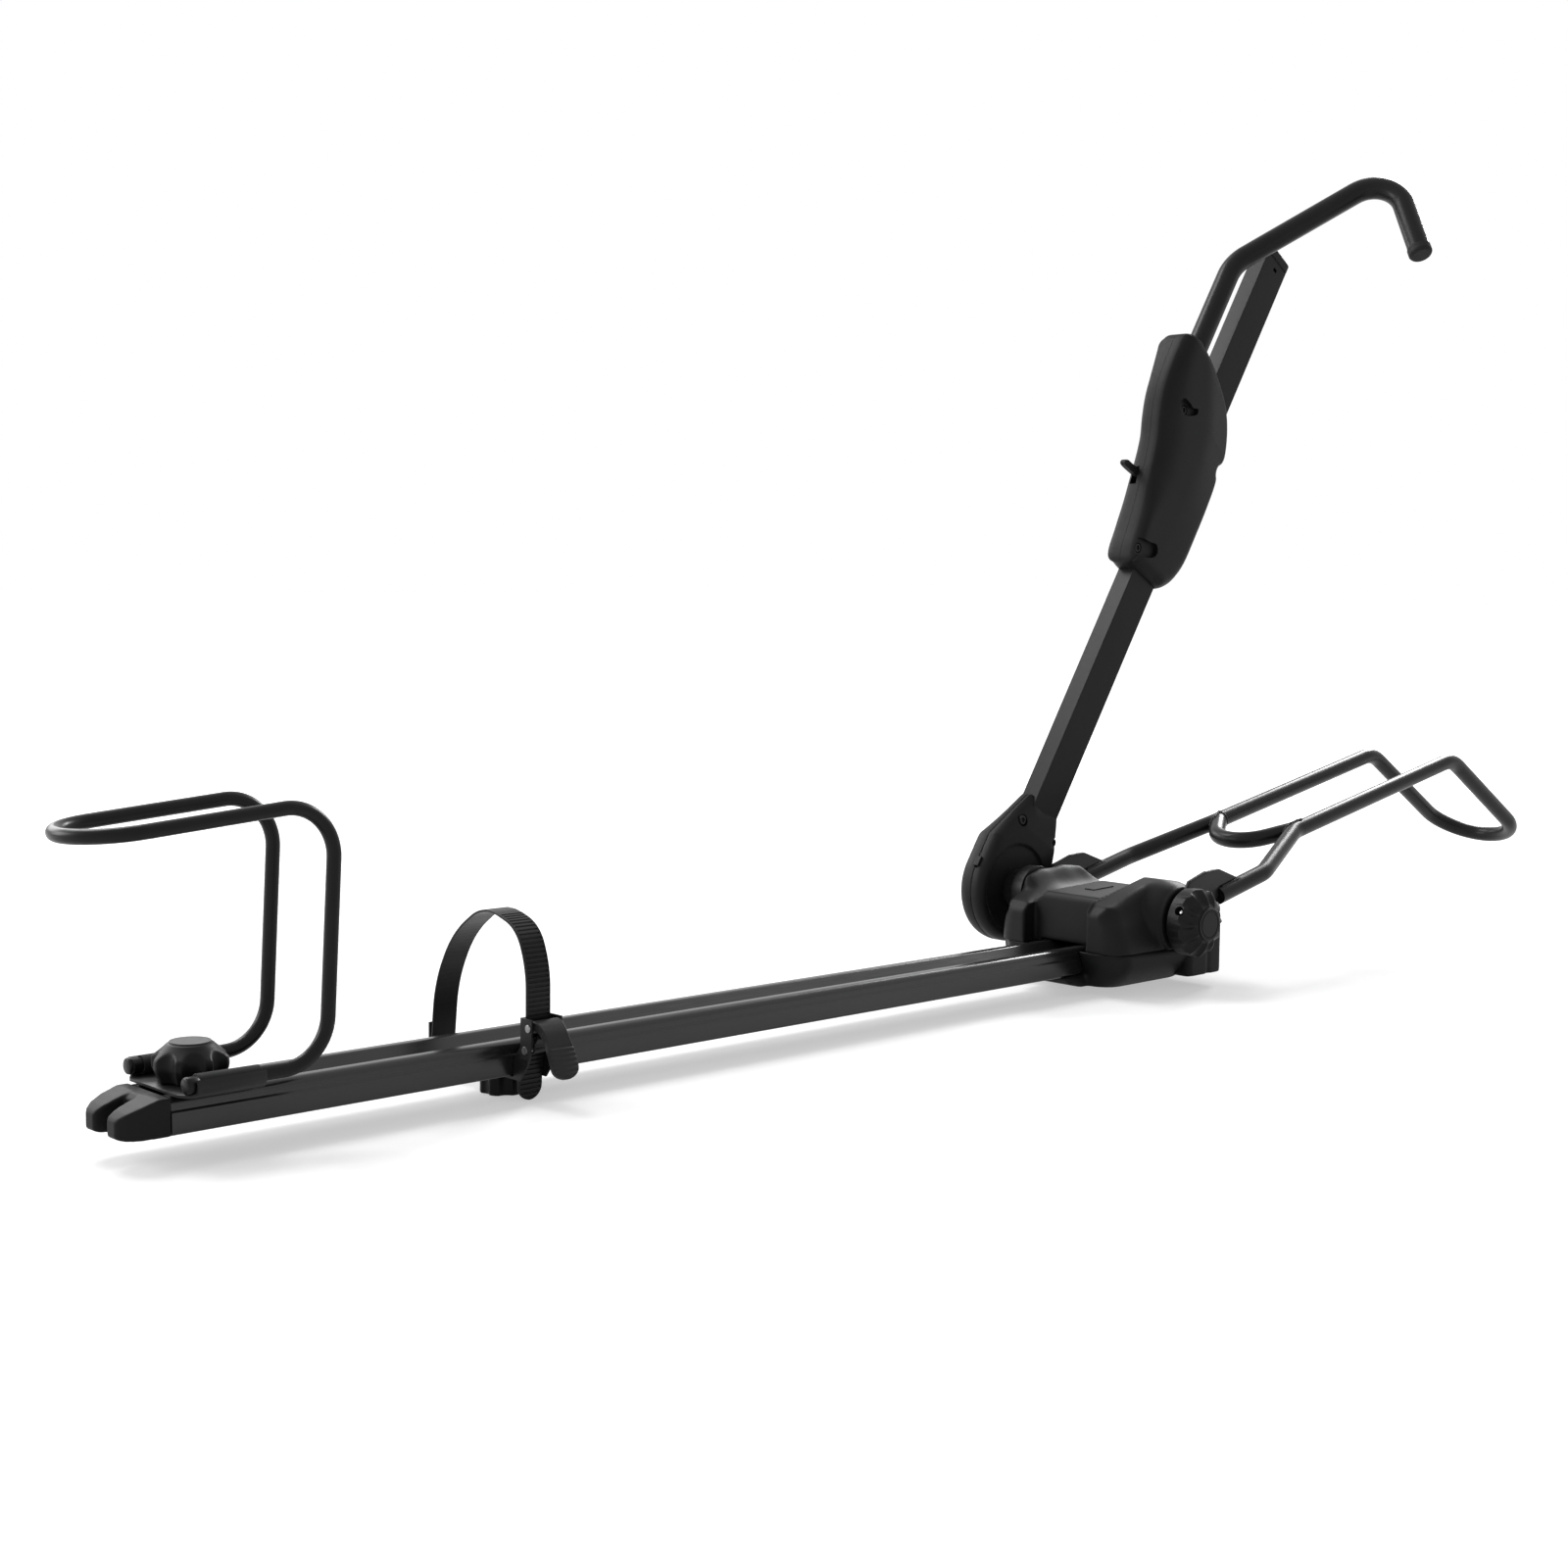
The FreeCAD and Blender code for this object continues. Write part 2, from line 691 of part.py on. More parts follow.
def buckle():
    inner = "strap_width / 2 + face_gap + buckle_wall"
    cheek = [
        ("strap_near_y + 2.6", "buckle_top_z"),
        ("strap_near_y - buckle_depth + 2", "buckle_top_z"),
        ("strap_near_y - buckle_depth + 2", "buckle_bottom_z + 18"),
        ("strap_near_y - buckle_depth + 5", "buckle_bottom_z + 4"),
        ("strap_near_y + 2.6", "buckle_bottom_z + 4"),
    ]
    cheeks = [prong("cheek_left", f"strap_x - ({inner}) - buckle_wall", cheek),
              prong("cheek_right", f"strap_x + ({inner})", cheek)]
    web_y = "strap_near_y + strap_thick / 2 + face_gap"
    web = box("buckle_web", f"strap_x - ({inner}) - buckle_wall / 2", web_y, "buckle_top_z - 5",
              f"2 * ({inner}) + buckle_wall", "buckle_wall", "5")
    ends = f"strap_x - ({inner}) - buckle_wall"
    span = f"2 * ({inner}) + 2 * buckle_wall"
    holes = [cylinder("cheek_lever_hole", "X", f"{ends} - 1", LEVER_PIN_Y, "buckle_lever_pin_z",
                      "buckle_pin_radius + running_fit", f"{span} + 2"),
             cylinder("cheek_pawl_hole", "X", f"{ends} - 1", PAWL_PIN_Y, "buckle_pawl_pin_z",
                      "buckle_pin_radius + running_fit", f"{span} + 2")]
    keep(cut("buckle_stamping", fuse("buckle_sides", web, *cheeks), *holes), "buckle_frame")
    rivets = []
    for name, y, z in (("lever", LEVER_PIN_Y, "buckle_lever_pin_z"), ("pawl", PAWL_PIN_Y, "buckle_pawl_pin_z")):
        shank = cylinder(f"{name}_rivet", "X", f"{ends}", y, z, "buckle_pin_radius", span)
        heads = [cylinder(f"{name}_head_left", "X", f"{ends} - buckle_wall / 2", y, z, "rivet_head_radius",
                          "buckle_wall / 2"),
                 cylinder(f"{name}_head_right", "X", f"{ends} + {span}", y, z, "rivet_head_radius",
                          "buckle_wall / 2")]
        rivets.append(fuse(f"{name}_rivet_whole", shank, *heads))
    pair = doc.addObject("Part::Compound", "rivet_pair")
    pair.Links = rivets
    keep(pair, "buckle_rivets")


def hub_and_arm(name, pin_y, pin_z, hub_radius, corners, width):
    """A flat lever on a cross pin: a round hub and an arm, with the pin's hole."""
    hub = cylinder(name + "_hub", "X", f"strap_x - ({width}) / 2", pin_y, pin_z, hub_radius, width)
    arm = outline_pad(name + "_arm", "YZ_Plane", [corners], width, f"strap_x - ({width}) / 2")
    hole = cylinder(name + "_hole", "X", f"strap_x - ({width}) / 2 - 1", pin_y, pin_z,
                    "buckle_pin_radius + running_fit", f"{width} + 2")
    return cut(name + "_bored", fuse(name + "_blank", hub, arm), hole)


def buckle_levers():
    def spot(pin_y, out, pin_z, up):
        return (f"{pin_y} - {out}", f"{pin_z} + {up}" if up >= 0 else f"{pin_z} - {-up}")
    top = [(0, 4.2), (5, 6), (12, 2)]
    reach = [("buckle_lever_reach * 0.55", "buckle_lever_drop * 0.29"),
             ("buckle_lever_reach * 0.73", "buckle_lever_drop * 0.63"),
             ("buckle_lever_reach * 0.81", "buckle_lever_drop * 0.91")]
    outer = [spot(LEVER_PIN_Y, out, "buckle_lever_pin_z", up) for out, up in top]
    outer += [(f"{LEVER_PIN_Y} - {out}", f"buckle_lever_pin_z - {down}") for out, down in reach]
    inner = [(f"{LEVER_PIN_Y} - {out} + buckle_lever_thick", f"buckle_lever_pin_z - {down} - 0.4")
             for out, down in reversed(reach)]
    inner += [spot(LEVER_PIN_Y, 10, "buckle_lever_pin_z", -3), spot(LEVER_PIN_Y, 5, "buckle_lever_pin_z", 0),
              spot(LEVER_PIN_Y, 1, "buckle_lever_pin_z", 0)]
    keep(hub_and_arm("lever", LEVER_PIN_Y, "buckle_lever_pin_z", "buckle_pin_radius + 2.8", outer + inner,
                     "strap_width + 2.4"), "buckle_lever")
    pawl = [spot(PAWL_PIN_Y, out, "buckle_pawl_pin_z", up)
            for out, up in ((2.4, 0), (-1.9, 6.5), (0.5, 9), (6.5, 11), (7, 8.5), (3, 4))]
    keep(hub_and_arm("pawl", PAWL_PIN_Y, "buckle_pawl_pin_z", "buckle_pin_radius + 1.4", pawl,
                     "buckle_pawl_length"), "buckle_pawl")


# Base: a tray that sits on the roof bar, a steel frame inside it, a cover with two humps, and a foot
def flat_ring(left, right, near, far, radius, height):
    corners = [Vector(left, near, height), Vector(right, near, height), Vector(right, far, height),
               Vector(left, far, height)]
    return rounded_corners(corners, radius)


def tray(inset, low):
    """The tray's outside, or its hollow where inset is the wall."""
    upper = flat_ring(S.base_left_x + inset, S.base_right_x - inset, S.base_near_y + inset, S.base_far_y - inset,
                      S.base_corner - inset, S.seam_z)
    lower = flat_ring(S.base_foot_left_x + inset, S.base_foot_right_x - inset, inset - S.base_foot_half,
                      S.base_foot_half - inset, S.base_corner - inset, low)
    return Part.makeLoft([lower, upper], True, True)


def block(x0, x1, y0, y1, z0, z1):
    return Part.makeBox(x1 - x0, y1 - y0, z1 - z0, Vector(x0, y0, z0))


def side_prism(corners, y0, y1):
    """A flat outline in X and Z, run along Y."""
    points = [Vector(x, y0, z) for x, z in corners]
    return Part.Face(Part.makePolygon(points + points[:1])).extrude(Vector(0, y1 - y0, 0))


def mount_holes(low, high):
    holes = [Part.makeCylinder(S.mount_hole_radius, high - low, Vector(sx * S.mount_spacing_x / 2,
                                                                      sy * S.mount_spacing_y / 2, low))
             for sx in (1, -1) for sy in (1, -1)]
    return holes


def rail_passage(top):
    half = S.rail_width / 2 + S.face_gap
    return block(S.belly_x - 10, S.rail_end + S.face_gap, -half, half, S.rail_low, top)


def base_lower_shell():
    belly = side_prism([(S.recess_x, 0), (S.belly_x + 22, 0), (S.belly_x + 6, 4), (S.belly_x, S.rail_low),
                        (S.recess_x, S.rail_low)], 4 - S.recess_half, S.recess_half - 4)
    shape = tray(0, 0).fuse(belly).cut(tray(S.shell_wall, S.base_floor))
    screw_bores = [Part.makeCylinder(S.screw_radius, 20, Vector(S.base_right_x - 10, side * S.foot_half / 2,
                                                               S.seam_z - 12), Vector(1, 0, 0))
                   for side in (1, -1)]
    shape = shape.cut([rail_passage(S.seam_z + 1)] + mount_holes(-1, S.base_floor + 1) + screw_bores)
    keep(shape_feature("tray", shape.removeSplitter()), "base_lower_shell")


def hump(inset, drop):
    """Side outline of one hump of the cover, its peak lower by drop."""
    left = S.base_left_x + inset
    right = S.base_right_x - inset
    up = -inset
    return [(left, S.seam_z), (left, S.cover_front_z - 8 + up), (left + 8, S.cover_front_z + up),
            (S.cover_peak_x, S.cover_peak_z - drop + up), (S.cover_peak_x + 25, S.cover_peak_z - 4 - drop + up),
            (right - 9, S.cover_back_z + 13 + up), (right, S.cover_back_z + up), (right, S.seam_z)]


def cover_form(inset):
    """Two humps either side of a lower saddle; its hollow where inset is the wall."""
    left = S.base_left_x + inset
    right = S.base_right_x - inset
    up = -inset
    saddle = [(S.recess_x + inset, S.seam_z), (S.recess_x + inset, S.saddle_z - 4 + up),
              (S.recess_x + 4 + inset, S.saddle_z + up), (S.cover_peak_x + 20, S.saddle_z + S.saddle_rise + up),
              (right, S.saddle_back_z + up), (right, S.seam_z)]
    near = side_prism(hump(inset, S.near_peak_drop), S.base_near_y + inset, -S.recess_half - inset)
    far = side_prism(hump(inset, 0), S.recess_half + inset, S.base_far_y - inset)
    middle = side_prism(saddle, -S.recess_half - inset, S.recess_half + inset)
    if not inset:
        near = round_top(near, S.base_near_y, S.cover_round)
        far = round_top(far, S.base_far_y, S.cover_round)
    plan = Part.Face(flat_ring(left, right, S.base_near_y + inset, S.base_far_y - inset, S.base_corner - inset,
                               S.seam_z)).extrude(Vector(0, 0, S.cover_peak_z))
    return near.fuse([far, middle]).common(plan)


def round_top(prism, y, radius):
    """Round a hump's upper edges along its outer wall."""
    picked = [edge for edge in prism.Edges
              if abs(edge.BoundBox.YMin - y) < 0.01 and edge.BoundBox.YLength < 0.01
              and edge.BoundBox.ZMin > S.cover_back_z - 1]
    return prism.makeFillet(radius, picked)


def along_y(radius, x, z, y0, y1):
    return Part.makeCylinder(radius, y1 - y0, Vector(x, y0, z), Vector(0, 1, 0))


def base_cover():
    outer = cover_form(0)
    barrel_end = PLATE_HALF_Y - S.cradle_plate_thick / 2 - S.face_gap
    bosses = [along_y(S.barrel_radius, S.pivot_x, S.pivot_z, -barrel_end, -S.base_foot_half),
              along_y(S.far_boss_radius, S.pivot_x, S.pivot_z, S.base_foot_half, barrel_end),
              along_y(S.neck_radius + S.shell_wall, S.hinge_x, S.hinge_z, S.recess_half, S.base_far_y + 4)]
    hollow = cover_form(S.shell_wall)
    bores = [along_y(S.pivot_bolt_radius + S.running_fit, S.pivot_x, S.pivot_z, -barrel_end - 1, barrel_end + 1),
             along_y(S.neck_radius + S.face_gap, S.hinge_x, S.hinge_z, S.recess_half - 1, S.base_far_y + 5),
             rail_passage(S.rail_low + S.rail_height + S.face_gap)]
    floor_cut = block(S.base_left_x - 60, S.base_right_x + 60, -200, 200, -100, S.seam_z)
    shape = outer.fuse(bosses).cut([hollow, floor_cut] + bores)
    keep(shape_feature("cover", shape.removeSplitter()), "base_cover")
    run = S.cover_peak_x + 20 - S.recess_x - 4
    ahead = S.plate_middle_x - S.recess_x - 4
    plate = block(-S.plate_length / 2, S.plate_length / 2, -S.plate_width / 2, S.plate_width / 2, 0, S.plate_thick)
    obj = shape_feature("plate", plate)
    obj.Placement = Placement(Vector(S.plate_middle_x, 0, S.saddle_z + S.saddle_rise * ahead / run),
                              Rotation(Vector(0, 1, 0), -math.degrees(math.atan2(S.saddle_rise, run))))
    keep(obj, "cover_plate")


RAIL_BOLTS_X = (S.base_foot_left_x + 20, S.base_foot_right_x - 26)


def base_frame():
    """Folded steel plate with two cheeks that carry the pivot bolt and the hinge axle."""
    cheek_y = S.base_foot_half + 2
    inner_y = S.rail_width / 2 + 4
    left = S.base_foot_left_x + 20
    right = S.base_right_x - 8
    step = S.seam_z - 8
    floor = block(S.base_foot_left_x + 8, S.base_foot_right_x - 9, 10 - S.base_foot_half, S.base_foot_half - 10,
                  S.base_floor, S.base_floor + 3)
    cheek = [(left, step), (right, step), (right - 6, S.pivot_z + 12), (S.cover_peak_x, S.cover_peak_z - 14),
             (left, S.cover_front_z - 6)]
    web = [(left, S.base_floor), (right, S.base_floor), (right, step), (left, step)]
    walls = []
    for side in (1, -1):
        walls.append(side_prism(cheek, *sorted((side * cheek_y, side * (cheek_y + 3)))))
        walls.append(side_prism(web, *sorted((side * inner_y, side * (inner_y + 3)))))
        walls.append(block(left, right, *sorted((side * inner_y, side * (cheek_y + 3))), step, step + 3))
    bores = [along_y(S.pivot_bolt_radius + S.running_fit, S.pivot_x, S.pivot_z, -S.foot_half, S.foot_half),
             along_y(S.axle_radius + S.running_fit, S.hinge_x, S.hinge_z, 0, S.foot_half)]
    bores += [Part.makeCylinder(S.clamp_bolt_radius + S.running_fit, 10, Vector(x, 0, 0)) for x in RAIL_BOLTS_X]
    shape = floor.fuse(walls).cut(bores + mount_holes(S.base_floor - 1, S.base_floor + 4))
    keep(shape_feature("frame", shape.removeSplitter()), "base_frame")


def front_foot():
    base = box("foot_block", "foot_start_x", "-foot_half", "foot_low", "foot_end_x - foot_start_x",
               "2 * foot_half", "foot_high - foot_low")
    doc.recompute()
    rounded = doc.addObject("Part::Fillet", "foot_rounded")
    rounded.Base = base
    picked = [k + 1 for k, edge in enumerate(base.Shape.Edges)
              if edge.BoundBox.ZLength > 5 or edge.BoundBox.ZMin > S.foot_high - 1]
    rounded.Edges = [(k, S.foot_round, S.foot_round) for k in picked]
    hollow = box("foot_hollow", "foot_start_x + shell_wall", "shell_wall - foot_half", "foot_low - 1",
                 "foot_end_x - foot_start_x - 2 * shell_wall", "2 * foot_half - 2 * shell_wall",
                 "foot_high - foot_low + 1 - shell_wall")
    bores = [cylinder(f"foot_hole_{k}", "X", "foot_start_x - 1", y, "seam_z - 12", "screw_radius + running_fit",
                      "shell_wall + 2") for k, y in enumerate(("-foot_half / 2", "foot_half / 2"))]
    cheeks = [foot_cheek(side, word) for side, word in ((-1, "near"), (1, "far"))]
    keep(fuse("foot", cut("foot_shell", rounded, hollow, *bores), *cheeks), "front_foot")


def foot_cheek(side, word):
    """The foot's arm that fills the hollow under one end of the tray."""
    outer, inner = side * S.foot_half, side * S.base_foot_half
    y0, y1 = sorted((outer, inner))
    arm = block(S.cheek_start_x, S.foot_start_x + S.shell_wall, y0, y1, S.foot_low, S.cheek_high)
    upright = [edge for edge in arm.Edges if edge.BoundBox.ZLength > 5 and abs(edge.BoundBox.YMin - outer) < 0.01
               and edge.BoundBox.XMin < S.cheek_start_x + 1]
    arm = arm.makeFillet(S.foot_round, upright)
    barrel = along_y(S.barrel_radius + S.face_gap, S.pivot_x, S.pivot_z, y0 - 1, y1 + 1)
    clear_of_foot = block(S.foot_start_x, S.foot_end_x, -S.foot_half, S.foot_half, 0, S.seam_z)
    return shape_feature(f"cheek_{word}", arm.cut([tray(-S.face_gap, -S.face_gap), barrel, clear_of_foot]))


def base_fasteners():
    """Bolts that hold the rail down on the base frame, and screws that hold the foot on the tray."""
    bolts = []
    for x in RAIL_BOLTS_X:
        shank = Part.makeCylinder(S.clamp_bolt_radius, S.rail_low + S.slot_lip + 2 - S.base_floor,
                                  Vector(x, 0, S.base_floor))
        head = Part.makeCylinder(S.slot_inner / 2 - 1, 2, Vector(x, 0, S.rail_low + S.slot_lip))
        bolts.append(shank.fuse(head).removeSplitter())
    keep(shape_feature("bolts", Part.makeCompound(bolts)), "rail_bolts")
    screws = []
    for side in (1, -1):
        start = Vector(S.foot_start_x + S.shell_wall + S.screw_head_height, side * S.foot_half / 2, S.seam_z - 12)
        way = Vector(-1, 0, 0)
        head = Part.makeCylinder(S.screw_head_radius, S.screw_head_height, start, way)
        shank = Part.makeCylinder(S.screw_radius, S.screw_head_height + 3 * S.shell_wall, start, way)
        screws.append(head.fuse(shank).removeSplitter())
    keep(shape_feature("foot_screw_pair", Part.makeCompound(screws)), "foot_screws")


# Cradle pivot: a bolt right through the base, tightened by the big knob
def knob_back():
    return PLATE_HALF_Y + S.cradle_plate_thick / 2 + S.face_gap


def hexagon(across_flats, x, z, y0, y1):
    reach = across_flats / math.sqrt(3)
    corners = [(x + reach * math.cos(math.radians(60 * k)), z + reach * math.sin(math.radians(60 * k)))
               for k in range(6)]
    return side_prism(corners, y0, y1)


def pivot_bolt():
    far_face = PLATE_HALF_Y + S.cradle_plate_thick / 2 + S.face_gap
    shank = along_y(S.pivot_bolt_radius, S.pivot_x, S.pivot_z, -knob_back() - S.knob_depth * 0.7, far_face)
    head = hexagon(3 * S.pivot_bolt_radius, S.pivot_x, S.pivot_z, far_face, HOUSING_NEAR_Y - 2 * S.face_gap)
    keep(shape_feature("bolt", shank.fuse(head).removeSplitter()), "pivot_bolt")


def knob_spoke(angle):
    return Vector(math.cos(angle), 0, math.sin(angle))


def cradle_knob():
    """Round grip with petals dished into its sloping front, a hub cap, and a lock in its side wall."""
    back = -knob_back()
    front = back - S.knob_depth
    middle = Vector(S.pivot_x, 0, S.pivot_z)
    outward = Vector(0, -1, 0)
    rim = along_y(S.knob_radius, S.pivot_x, S.pivot_z, back - S.knob_rim, back)
    dome_start = middle + Vector(0, back - S.knob_rim, 0)
    dome_depth = S.knob_depth - S.knob_rim
    dome = Part.makeCone(S.knob_radius - 1, S.knob_hub_radius + 3, dome_depth, dome_start, outward)
    grooves = []
    count = round(S.knob_petals)
    for k in range(count):
        spoke = knob_spoke(2 * math.pi * (k + 0.5) / count)
        way = outward * dome_depth - spoke * (S.knob_radius - S.knob_hub_radius - 4)
        lift = (spoke * dome_depth + outward * (S.knob_radius - S.knob_hub_radius - 4)).normalize() * S.petal_lift
        root = dome_start + spoke * (S.knob_radius - 1) + lift - way
        grooves.append(Part.makeCylinder(S.petal_groove, 3 * way.Length, root, way))
    bore = along_y(S.pivot_bolt_radius + S.running_fit, S.pivot_x, S.pivot_z, back - S.knob_depth * 0.75, back + 1)
    hub = along_y(S.knob_hub_radius, S.pivot_x, S.pivot_z, front - 1, front + 1)
    lock_spoke = knob_spoke(math.radians(S.lock_turn))
    lock_seat = middle + Vector(0, back - S.lock_setback, 0) + lock_spoke * (S.knob_radius - S.lock_bore_depth)
    lock_bore = Part.makeCylinder(S.lock_bore_radius, 2 * S.lock_bore_depth, lock_seat, lock_spoke)
    grip = rim.fuse(dome).cut(grooves + [bore, hub, lock_bore]).removeSplitter()
    keep(shape_feature("grip", grip), "cradle_knob")
    keep(shape_feature("hub", hub), "knob_hub_cap")
    plug = Part.makeCylinder(S.lock_plug_radius, S.lock_plug_length, lock_seat, lock_spoke)
    keep(shape_feature("lock", plug), "knob_lock_plug")


# Front wheel cradle: a long bent loop, a cross tube, and two plates on the pivot bolt
def cradle_arm(side):
    wide = side * PLATE_HALF_Y
    slim = side * S.cradle_half_width
    return [
        Vector(S.cradle_start_x, wide, S.cradle_start_z),
        Vector(S.cradle_flare_x, wide, S.cradle_flare_z),
        Vector(S.cradle_neck_x, slim, S.cradle_neck_z),
        Vector(S.cradle_top_x, slim, S.cradle_top_z),
        Vector(S.cradle_turn_x, slim, S.cradle_turn_z),
    ]


def cradle():
    near, far = cradle_arm(-1), cradle_arm(1)
    bends = [S.cradle_bend] * 3
    run = (near[4] - near[3]).normalize()
    tip = Vector(S.cradle_turn_x, 0, S.cradle_turn_z) + run * S.cradle_half_width
    edges = rounded_path(near, bends)
    arc_place = len(edges)
    edges.append(Part.Arc(near[4], tip, far[4]).toShape())
    edges += rounded_path(far[::-1], bends)
    loop = bent_rod("cradle_loop", edges, "cradle_tube_radius")
    bored = [[arm[0] + (arm[1] - arm[0]).normalize() * S.cradle_tube_wall] + arm[1:] for arm in (near, far)]
    bore_edges = rounded_path(bored[0], bends) + [edges[arc_place]] + rounded_path(bored[1][::-1], bends)
    loop_bore = bent_rod("cradle_bore", bore_edges, "cradle_tube_radius - cradle_tube_wall")
    keep(cut("cradle_tube", loop, loop_bore), "cradle_frame")
    share = (S.cross_x - S.cradle_flare_x) / (S.cradle_neck_x - S.cradle_flare_x)
    ends = [arm[1] + (arm[2] - arm[1]) * share for arm in (near, far)]
    low_z = ends[0].z - S.cross_sag
    corners = [ends[0]]
    for end in ends:
        corners.append(Vector(S.cross_x, end.y * 0.62, low_z))
    corners.append(ends[1])
    path = rounded_path(corners, [S.cradle_bend / 2] * 2)
    cross = bent_rod("cross_blank", path, "cradle_tube_radius")
    cross_bore = bent_rod("cross_bore", path, "cradle_tube_radius - cradle_tube_wall")
    keep(cut("cross_tube", cross, cross_bore, loop), "cradle_cross_tube")
    for side, word in ((-1, "near"), (1, "far")):
        keep(cut(f"side_plate_{word}", cradle_plate(side, word), loop), f"cradle_plate_{word}")


def cradle_plate(side, word):
    x, z = S.pivot_x, S.pivot_z
    outline = [(x - S.pivot_eye_radius + 1, z + 6), (x + 4, z + 38), (x + 30, z + 45.5), (x + 51, z + 46.5),
               (x + 84, z + 35), (S.cradle_start_x + 26, S.cradle_start_z + 6), (S.cradle_start_x, S.cradle_start_z),
               (x + 12, z - S.pivot_eye_radius + 5)]
    y0, y1 = sorted((side * (PLATE_HALF_Y - S.cradle_plate_thick / 2),
                     side * (PLATE_HALF_Y + S.cradle_plate_thick / 2)))
    eye = along_y(S.pivot_eye_radius, x, z, y0, y1)
    hole = along_y(S.pivot_bolt_radius + S.running_fit, x, z, y0 - 1, y1 + 1)
    return shape_feature(f"plate_blank_{word}", side_prism(outline, y0, y1).fuse(eye).cut(hole).removeSplitter())


# Mast hinge: a neck and axle on the base, a brake disc, and a two-part housing that swings with the mast
def hinge_core():
    cheek = S.base_foot_half + 5
    neck_end = HOUSING_NEAR_Y + S.dish_depth - S.face_gap
    neck = along_y(S.neck_radius, S.hinge_x, S.hinge_z, cheek, neck_end)
    bore = along_y(S.axle_radius, S.hinge_x, S.hinge_z, cheek - 1, neck_end + 1)
    keep(shape_feature("neck", neck.cut(bore)), "hinge_neck")
    axle_end = MAST_Y + S.mast_depth / 2 + S.housing_wall - S.face_gap
    axle = along_y(S.axle_radius, S.hinge_x, S.hinge_z, cheek - 3 - S.housing_wall, axle_end)
    keep(shape_feature("axle", axle), "hinge_axle")
    disc_y = MAST_Y - S.mast_depth / 2 + S.face_gap
    disc = along_y(S.brake_disc_radius, S.hinge_x, S.hinge_z, disc_y, disc_y + S.brake_disc_thick)
    hole = along_y(S.axle_radius, S.hinge_x, S.hinge_z, disc_y - 1, disc_y + S.brake_disc_thick + 1)
    keep(shape_feature("disc_ring", disc.cut(hole)), "brake_disc")


def housing_form(inset, y0, y1):
    """The housing's outline on the mast's axes: a round end about the axle, then two shoulders."""
    radius = S.housing_radius - inset
    top = S.housing_top - inset
    outline = [(-radius, 0), (-radius, 33), (inset - 39, 65), (inset - 24, top), (14 - inset, top + 2),
               (20 - inset, top - 1), (29 - inset, 69), (38 - inset, 60), (radius, 0)]
    return side_prism(outline, y0, y1).fuse(along_y(radius, 0, 0, y0, y1)).removeSplitter()


def housing_hollow():
    near = MAST_Y - S.mast_depth / 2
    far = MAST_Y + S.mast_depth / 2
    exit_way = block(-S.mast_width / 2, S.mast_width / 2, near, far, S.mast_bottom, S.housing_top + 10)
    return housing_form(S.housing_wall, near, far).fuse(exit_way)


HOUSING_SCREWS = ((-28.5, 62), (27, 66))
BUTTON_HALF = 5


def fold_button_form(gap):
    """The push button on the housing's rear edge; its hole where gap is the clearance."""
    inner = S.housing_radius - S.housing_wall - 5
    return block(-S.housing_radius - 2.5 - 3 * gap, -inner, HOUSING_SEAM_Y - 5 - gap, HOUSING_SEAM_Y + 1 + gap,
                 -BUTTON_HALF - gap, BUTTON_HALF + gap)


def hinge_housing():
    near = housing_form(0, HOUSING_NEAR_Y, HOUSING_SEAM_Y)
    far = housing_form(0, HOUSING_SEAM_Y, HOUSING_FAR_Y)
    hollow = housing_hollow()
    dish = along_y(S.dish_radius, 0, 0, HOUSING_NEAR_Y - 1, HOUSING_NEAR_Y + S.dish_depth)
    axle_end = MAST_Y + S.mast_depth / 2 + S.housing_wall
    bore = along_y(S.axle_radius + S.running_fit, 0, 0, HOUSING_NEAR_Y - 1, axle_end)
    button_hole = fold_button_form(S.face_gap)
    shanks = [along_y(S.screw_radius + S.running_fit, x, z, HOUSING_NEAR_Y - 1, HOUSING_FAR_Y - 2)
              for x, z in HOUSING_SCREWS]
    seats = [along_y(S.screw_head_radius + S.face_gap, x, z, HOUSING_NEAR_Y - 1,
                     HOUSING_NEAR_Y + S.screw_head_height) for x, z in HOUSING_SCREWS]
    shapes = (near.cut([hollow, dish, bore, button_hole] + shanks + seats),
              far.cut([hollow, bore, button_hole] + shanks))
    for word, shape in zip(("near", "far"), shapes):
        obj = keep(shape_feature(f"housing_{word}", shape.removeSplitter()), f"hinge_housing_{word}")
        place_on_mast(obj)
    screws = []
    for x, z in HOUSING_SCREWS:
        head = along_y(S.screw_head_radius, x, z, HOUSING_NEAR_Y, HOUSING_NEAR_Y + S.screw_head_height)
        socket = hexagon(S.screw_radius * 1.6, x, z, HOUSING_NEAR_Y - 1, HOUSING_NEAR_Y + 2)
        shank = along_y(S.screw_radius, x, z, HOUSING_NEAR_Y + 1, HOUSING_FAR_Y - 3)
        screws.append(head.fuse(shank).cut(socket).removeSplitter())
    place_on_mast(keep(shape_feature("housing_screw_pair", Part.makeCompound(screws)), "housing_screws"))
    button = fold_button_form(0)
    place_on_mast(keep(shape_feature("button", button), "fold_button"))
    reach = S.axle_radius + S.face_gap
    plate_y = HOUSING_SEAM_Y - 2
    plate = block(-S.housing_radius + S.housing_wall + 5, reach + 9, plate_y, plate_y + 3, -reach - 5, reach + 5)
    slot = block(-reach - 3, reach, plate_y - 1, plate_y + 4, -reach, reach)
    place_on_mast(keep(shape_feature("pawl_plate", plate.cut(slot)), "fold_pawl"))


